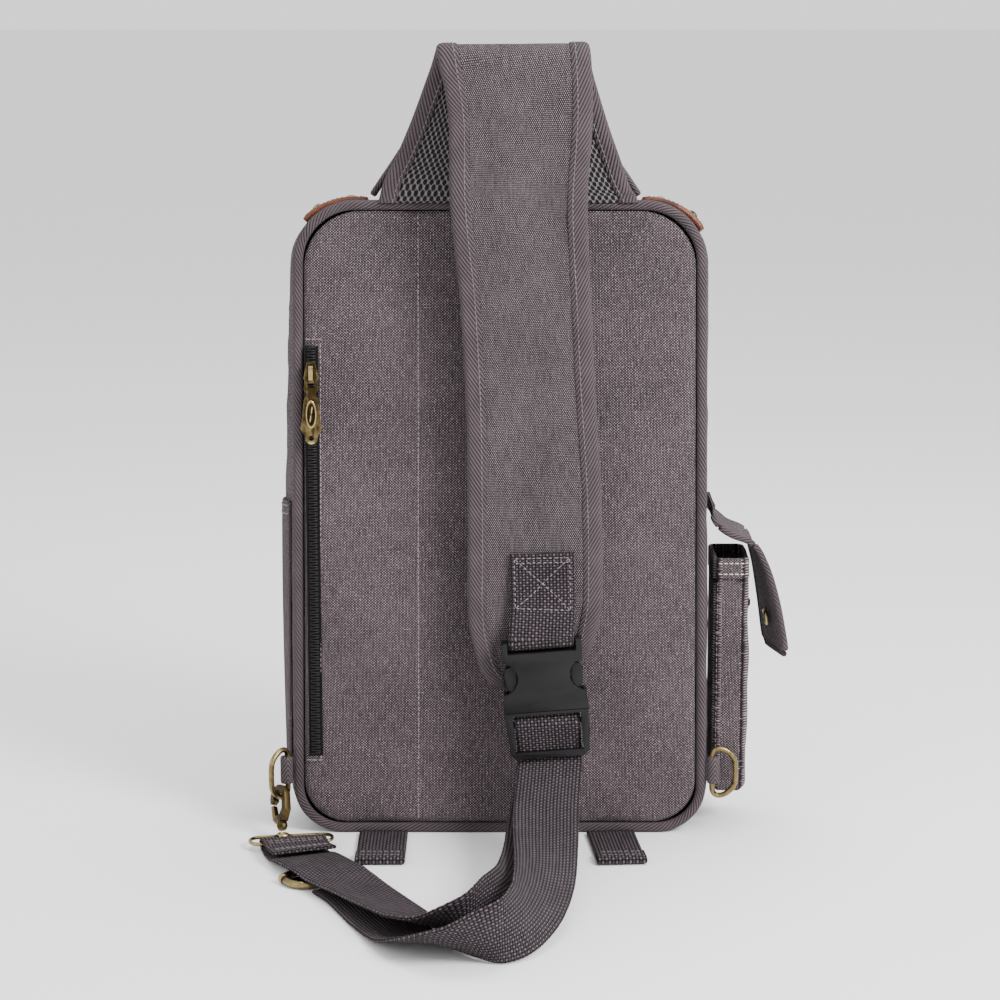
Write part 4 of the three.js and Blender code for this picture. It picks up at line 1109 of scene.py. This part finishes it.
def build_tab():
    frames = strip_frames([(at, side, WEB_WIDTH) for at, side in TAB_KEYS], 32)
    tab = sweep("strap_tab_web", frames, lambda f: flat_section(selvedge(WEB_WIDTH, f.run), WEB, 10))
    put_on(tab, "bag", WEBBING, "strap_tab")
    left, right, top, low = -16, 16, 2.5, 33
    lift = WEB / 2 + 0.1
    if frames[2].normal.y > 0:
        lift = -lift
    corners = [(top, left), (top, right), (low, right), (low, left)]
    rows = [line_on(frames, corners[i], corners[(i + 1) % 4], lift) for i in range(4)]
    rows += [line_on(frames, corners[0], corners[2], lift), line_on(frames, corners[1], corners[3], lift)]
    rows += [line_on(frames, (top + 2.6, left), (top + 2.6, right), lift)]
    put_on(stitches("strap_tab_stitches", rows, 2.0, 1.3, 0.24), "bag", THREAD_TAN)


# ---------- sling webbing ----------
SLING_KEYS = [
    ((-88.5, -150.5, 1.7), (-0.89, -0.46, 0)), ((-79.5, -167, 1.7), (-0.9, -0.43, 0)),
    ((-61, -213, 2), (-0.9, -0.43, 0)), ((-50, -240, 4), (-0.85, -0.52, 0.06)),
    ((-37, -262, 8.6), (-0.65, -0.68, 0.36)), ((-21, -275, 13.5), (-0.25, -0.7, 0.68)),
    ((-3, -277, 18.6), (0, -0.25, 0.97)), ((10, -263, 20.6), (-0.25, 0.1, 0.95)),
    ((19, -235, 22.6), (-0.6, 0.15, 0.75)), ((24, -198, 25.6), (-0.85, 0.15, 0.5)),
    ((25.5, -153, 31), (-0.97, 0.1, 0.25)), ((26.5, -115, 38), (-1, 0, 0.05)),
    ((28.4, -87, 47), (-1, 0, -0.04)), ((29.3, -76.2, 54.4), (-1, 0, -0.08)),
    ((29, -75.1, 60.7), (-1, 0, -0.08)), ((28, -78, 73.1), (-1, 0, -0.08)),
    ((27.7, -78.6, 77.1), (-1, 0, -0.08)), ((27.4, -75.4, 81.1), (-1, 0, -0.08)),
    ((27.7, -72.2, 77.1), (-1, 0, -0.08)), ((28.2, -72.1, 71), (-1, 0, -0.08)),
    ((29.1, -71.6, 59.2), (-1, 0, -0.08)), ((28.8, -73, 50.5), (-1, 0, -0.04)),
    ((25.6, -90, 36), (-1, 0, 0)), ((22.6, -121, 27.2), (-0.97, 0.1, 0.18)),
    ((19.4, -158, 21.8), (-0.88, 0.15, 0.4)), ((14.2, -192, 19.4), (-0.72, 0.2, 0.62)),
    ((6, -221, 19.5), (-0.45, 0.1, 0.85)), ((-6, -241, 20), (-0.2, -0.1, 0.95)),
    ((-19, -251, 17.6), (-0.2, -0.55, 0.75)), ((-33.5, -247, 12.8), (-0.5, -0.7, 0.48)),
    ((-46, -232, 10.4), (-0.7, -0.6, 0.32)), ((-56, -210, 8.6), (-0.82, -0.5, 0.22)),
    ((-66, -190, 7.2), (-0.86, -0.48, 0.16)), ((-78, -168, 6.6), (-0.88, -0.46, 0.1)),
    ((-90, -149, 7.2), (-0.88, -0.47, 0)), ((-101, -130, 7.2), (-0.88, -0.47, 0)),
    ((-111, -110, 5.6), (-0.9, -0.4, 0)), ((-117, -95, 2.4), (-0.94, -0.3, 0)),
    ((-121.2, -78.6, 1.4), (-0.98, -0.18, 0)), ((-123, -71.9, 4.4), (-0.98, -0.18, 0)),
    ((-121.3, -78.6, 7.6), (-0.98, -0.18, 0)), ((-117, -94, 7.3), (-0.94, -0.3, 0)),
    ((-112.4, -106.5, 9.1), (-0.9, -0.4, 0)),
]


def build_sling():
    frames = strip_frames([(at, side, WEB_WIDTH) for at, side in SLING_KEYS], 32)
    web = sweep("sling_web", frames, lambda f: flat_section(selvedge(WEB_WIDTH, f.run), WEB, 12))
    put_on(web, None, WEBBING, "sling_webbing")
    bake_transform(web)
    total = frames[-1].run
    lift = WEB / 2 + 0.1
    if frames[-1].normal.z < 0:
        lift = -lift
    rows = []
    for back in (6, 9, 20, 23):
        rows.append(line_on(frames, (total - back, -16), (total - back, 16), lift))
    put_on(stitches("sling_fold_stitches", rows, 2.3, 0.8, 0.3), "bag", THREAD_DARK)


def build_small_webs():
    for side, x, skew in (("left", -69.5, 0.0), ("right", 66, 0.08)):
        turn = Vector((math.cos(skew), math.sin(skew), 0))
        away = Vector((math.sin(skew), -math.cos(skew), 0))
        start = Vector((x, BACK_FACE - 2, 0))
        route = [(0, 1.4), (20, 1.4), (45, 1.4), (58.4, 1.5), (60, 2.6), (58.4, 3.9), (52, 3.9), (46, 3.8)]
        keys = [(tuple(start + away * d + Z * z), tuple(turn), 29) for d, z in route]
        frames = strip_frames(keys, 6)
        lash = sweep(f"lash_strap_{side}_web", frames, lambda f: flat_section(29, 2.0, 8))
        put_on(lash, "bag", WEBBING, f"lash_strap_{side}")
        rows = []
        for d in (49, 55):
            row = [(start + away * d + turn * a + Z * 4.95, Z) for a in (-12, -6, 0, 6, 12)]
            rows.append(row)
        put_on(stitches(f"lash_strap_{side}_stitches", rows), "bag", THREAD_DARK)
    for side in ("left", "right"):
        sign = 1 if side == "right" else -1
        centre = Vector((sign * 127, -42.8, 0))
        loops = []
        for z in [31 + 16 * k / 12 for k in range(13)]:
            edge = 0.25 if z in (31, 47) else 0.0
            loop = []
            for k in range(24):
                t = 2 * math.pi * k / 24
                reach_x = 4.2 - edge if sign * math.cos(t) > 0 else 3.4 - edge
                loop.append(centre + Vector((reach_x * math.cos(t), (4.0 - edge) * math.sin(t), z)))
            loops.append(loop)
        put_on(rings(f"d_tab_{side}_web", loops), "bag", HERRINGBONE, f"d_tab_{side}")


def build_hardware():
    for name in ("d_ring_left", "d_ring_right", "adjuster_slide", "swivel_loop"):
        dress(name, BRASS, 0.0, 1)
    for name in ("snap_hook", "hook_trigger"):
        dress(name, DARK_BRASS, 0.35)
    for name in ("buckle_socket", "buckle_frame", "buckle_prong_left", "buckle_prong_right"):
        dress(name, BUCKLE, 0.6)


# ---------- stage ----------
def build_stage():
    bpy.ops.mesh.primitive_plane_add(size=60)
    floor = bpy.context.active_object
    floor.name = "floor"
    g = Graph("pale_floor", 0.85)
    g.colour(g.mix(g.noise(g.place(), 900.0, 2.0), [0.86, 0.86, 0.86, 1], [0.88, 0.88, 0.88, 1]))
    floor.data.materials.append(g.material)

    world = bpy.data.worlds.new("soft_studio")
    world.use_nodes = True
    world.node_tree.nodes["Background"].inputs[0].default_value = (1, 1, 1, 1)
    world.node_tree.nodes["Background"].inputs[1].default_value = 1.35
    bpy.context.scene.world = world
    lights = [
        ("key", (1.0, -1.0, 1.1), 0.7, 44),
        ("fill", (-1.5, -1.3, 1.0), 1.4, 8),
        ("top", (0.1, 0.3, 2.0), 1.2, 22),
    ]
    for name, at, size, power in lights:
        light = bpy.data.lights.new(name, "AREA")
        light.shape = "DISK"
        light.size = size
        light.energy = power
        lamp = bpy.data.objects.new(name, light)
        lamp.location = at
        lamp.rotation_euler = (Vector((0, -0.05, 0.2)) - Vector(at)).to_track_quat("-Z", "Y").to_euler()
        bpy.context.scene.collection.objects.link(lamp)

    camera = bpy.data.objects.new("camera", bpy.data.cameras.new("camera"))
    camera.data.lens = 100
    camera.data.sensor_width = 36
    camera.location = (0, -1.645, 0.50)
    camera.rotation_euler = (math.radians(90 - 10.51), 0, 0)
    camera.data.clip_end = 200
    bpy.context.scene.collection.objects.link(camera)
    bpy.context.scene.camera = camera


build_body()
build_zips()
build_side_pocket()
build_flap()
build_snaps()
build_slip_pocket()
build_front_pocket()
build_handle()
build_strap()
build_tab()
build_sling()
build_small_webs()
build_hardware()
build_stage()
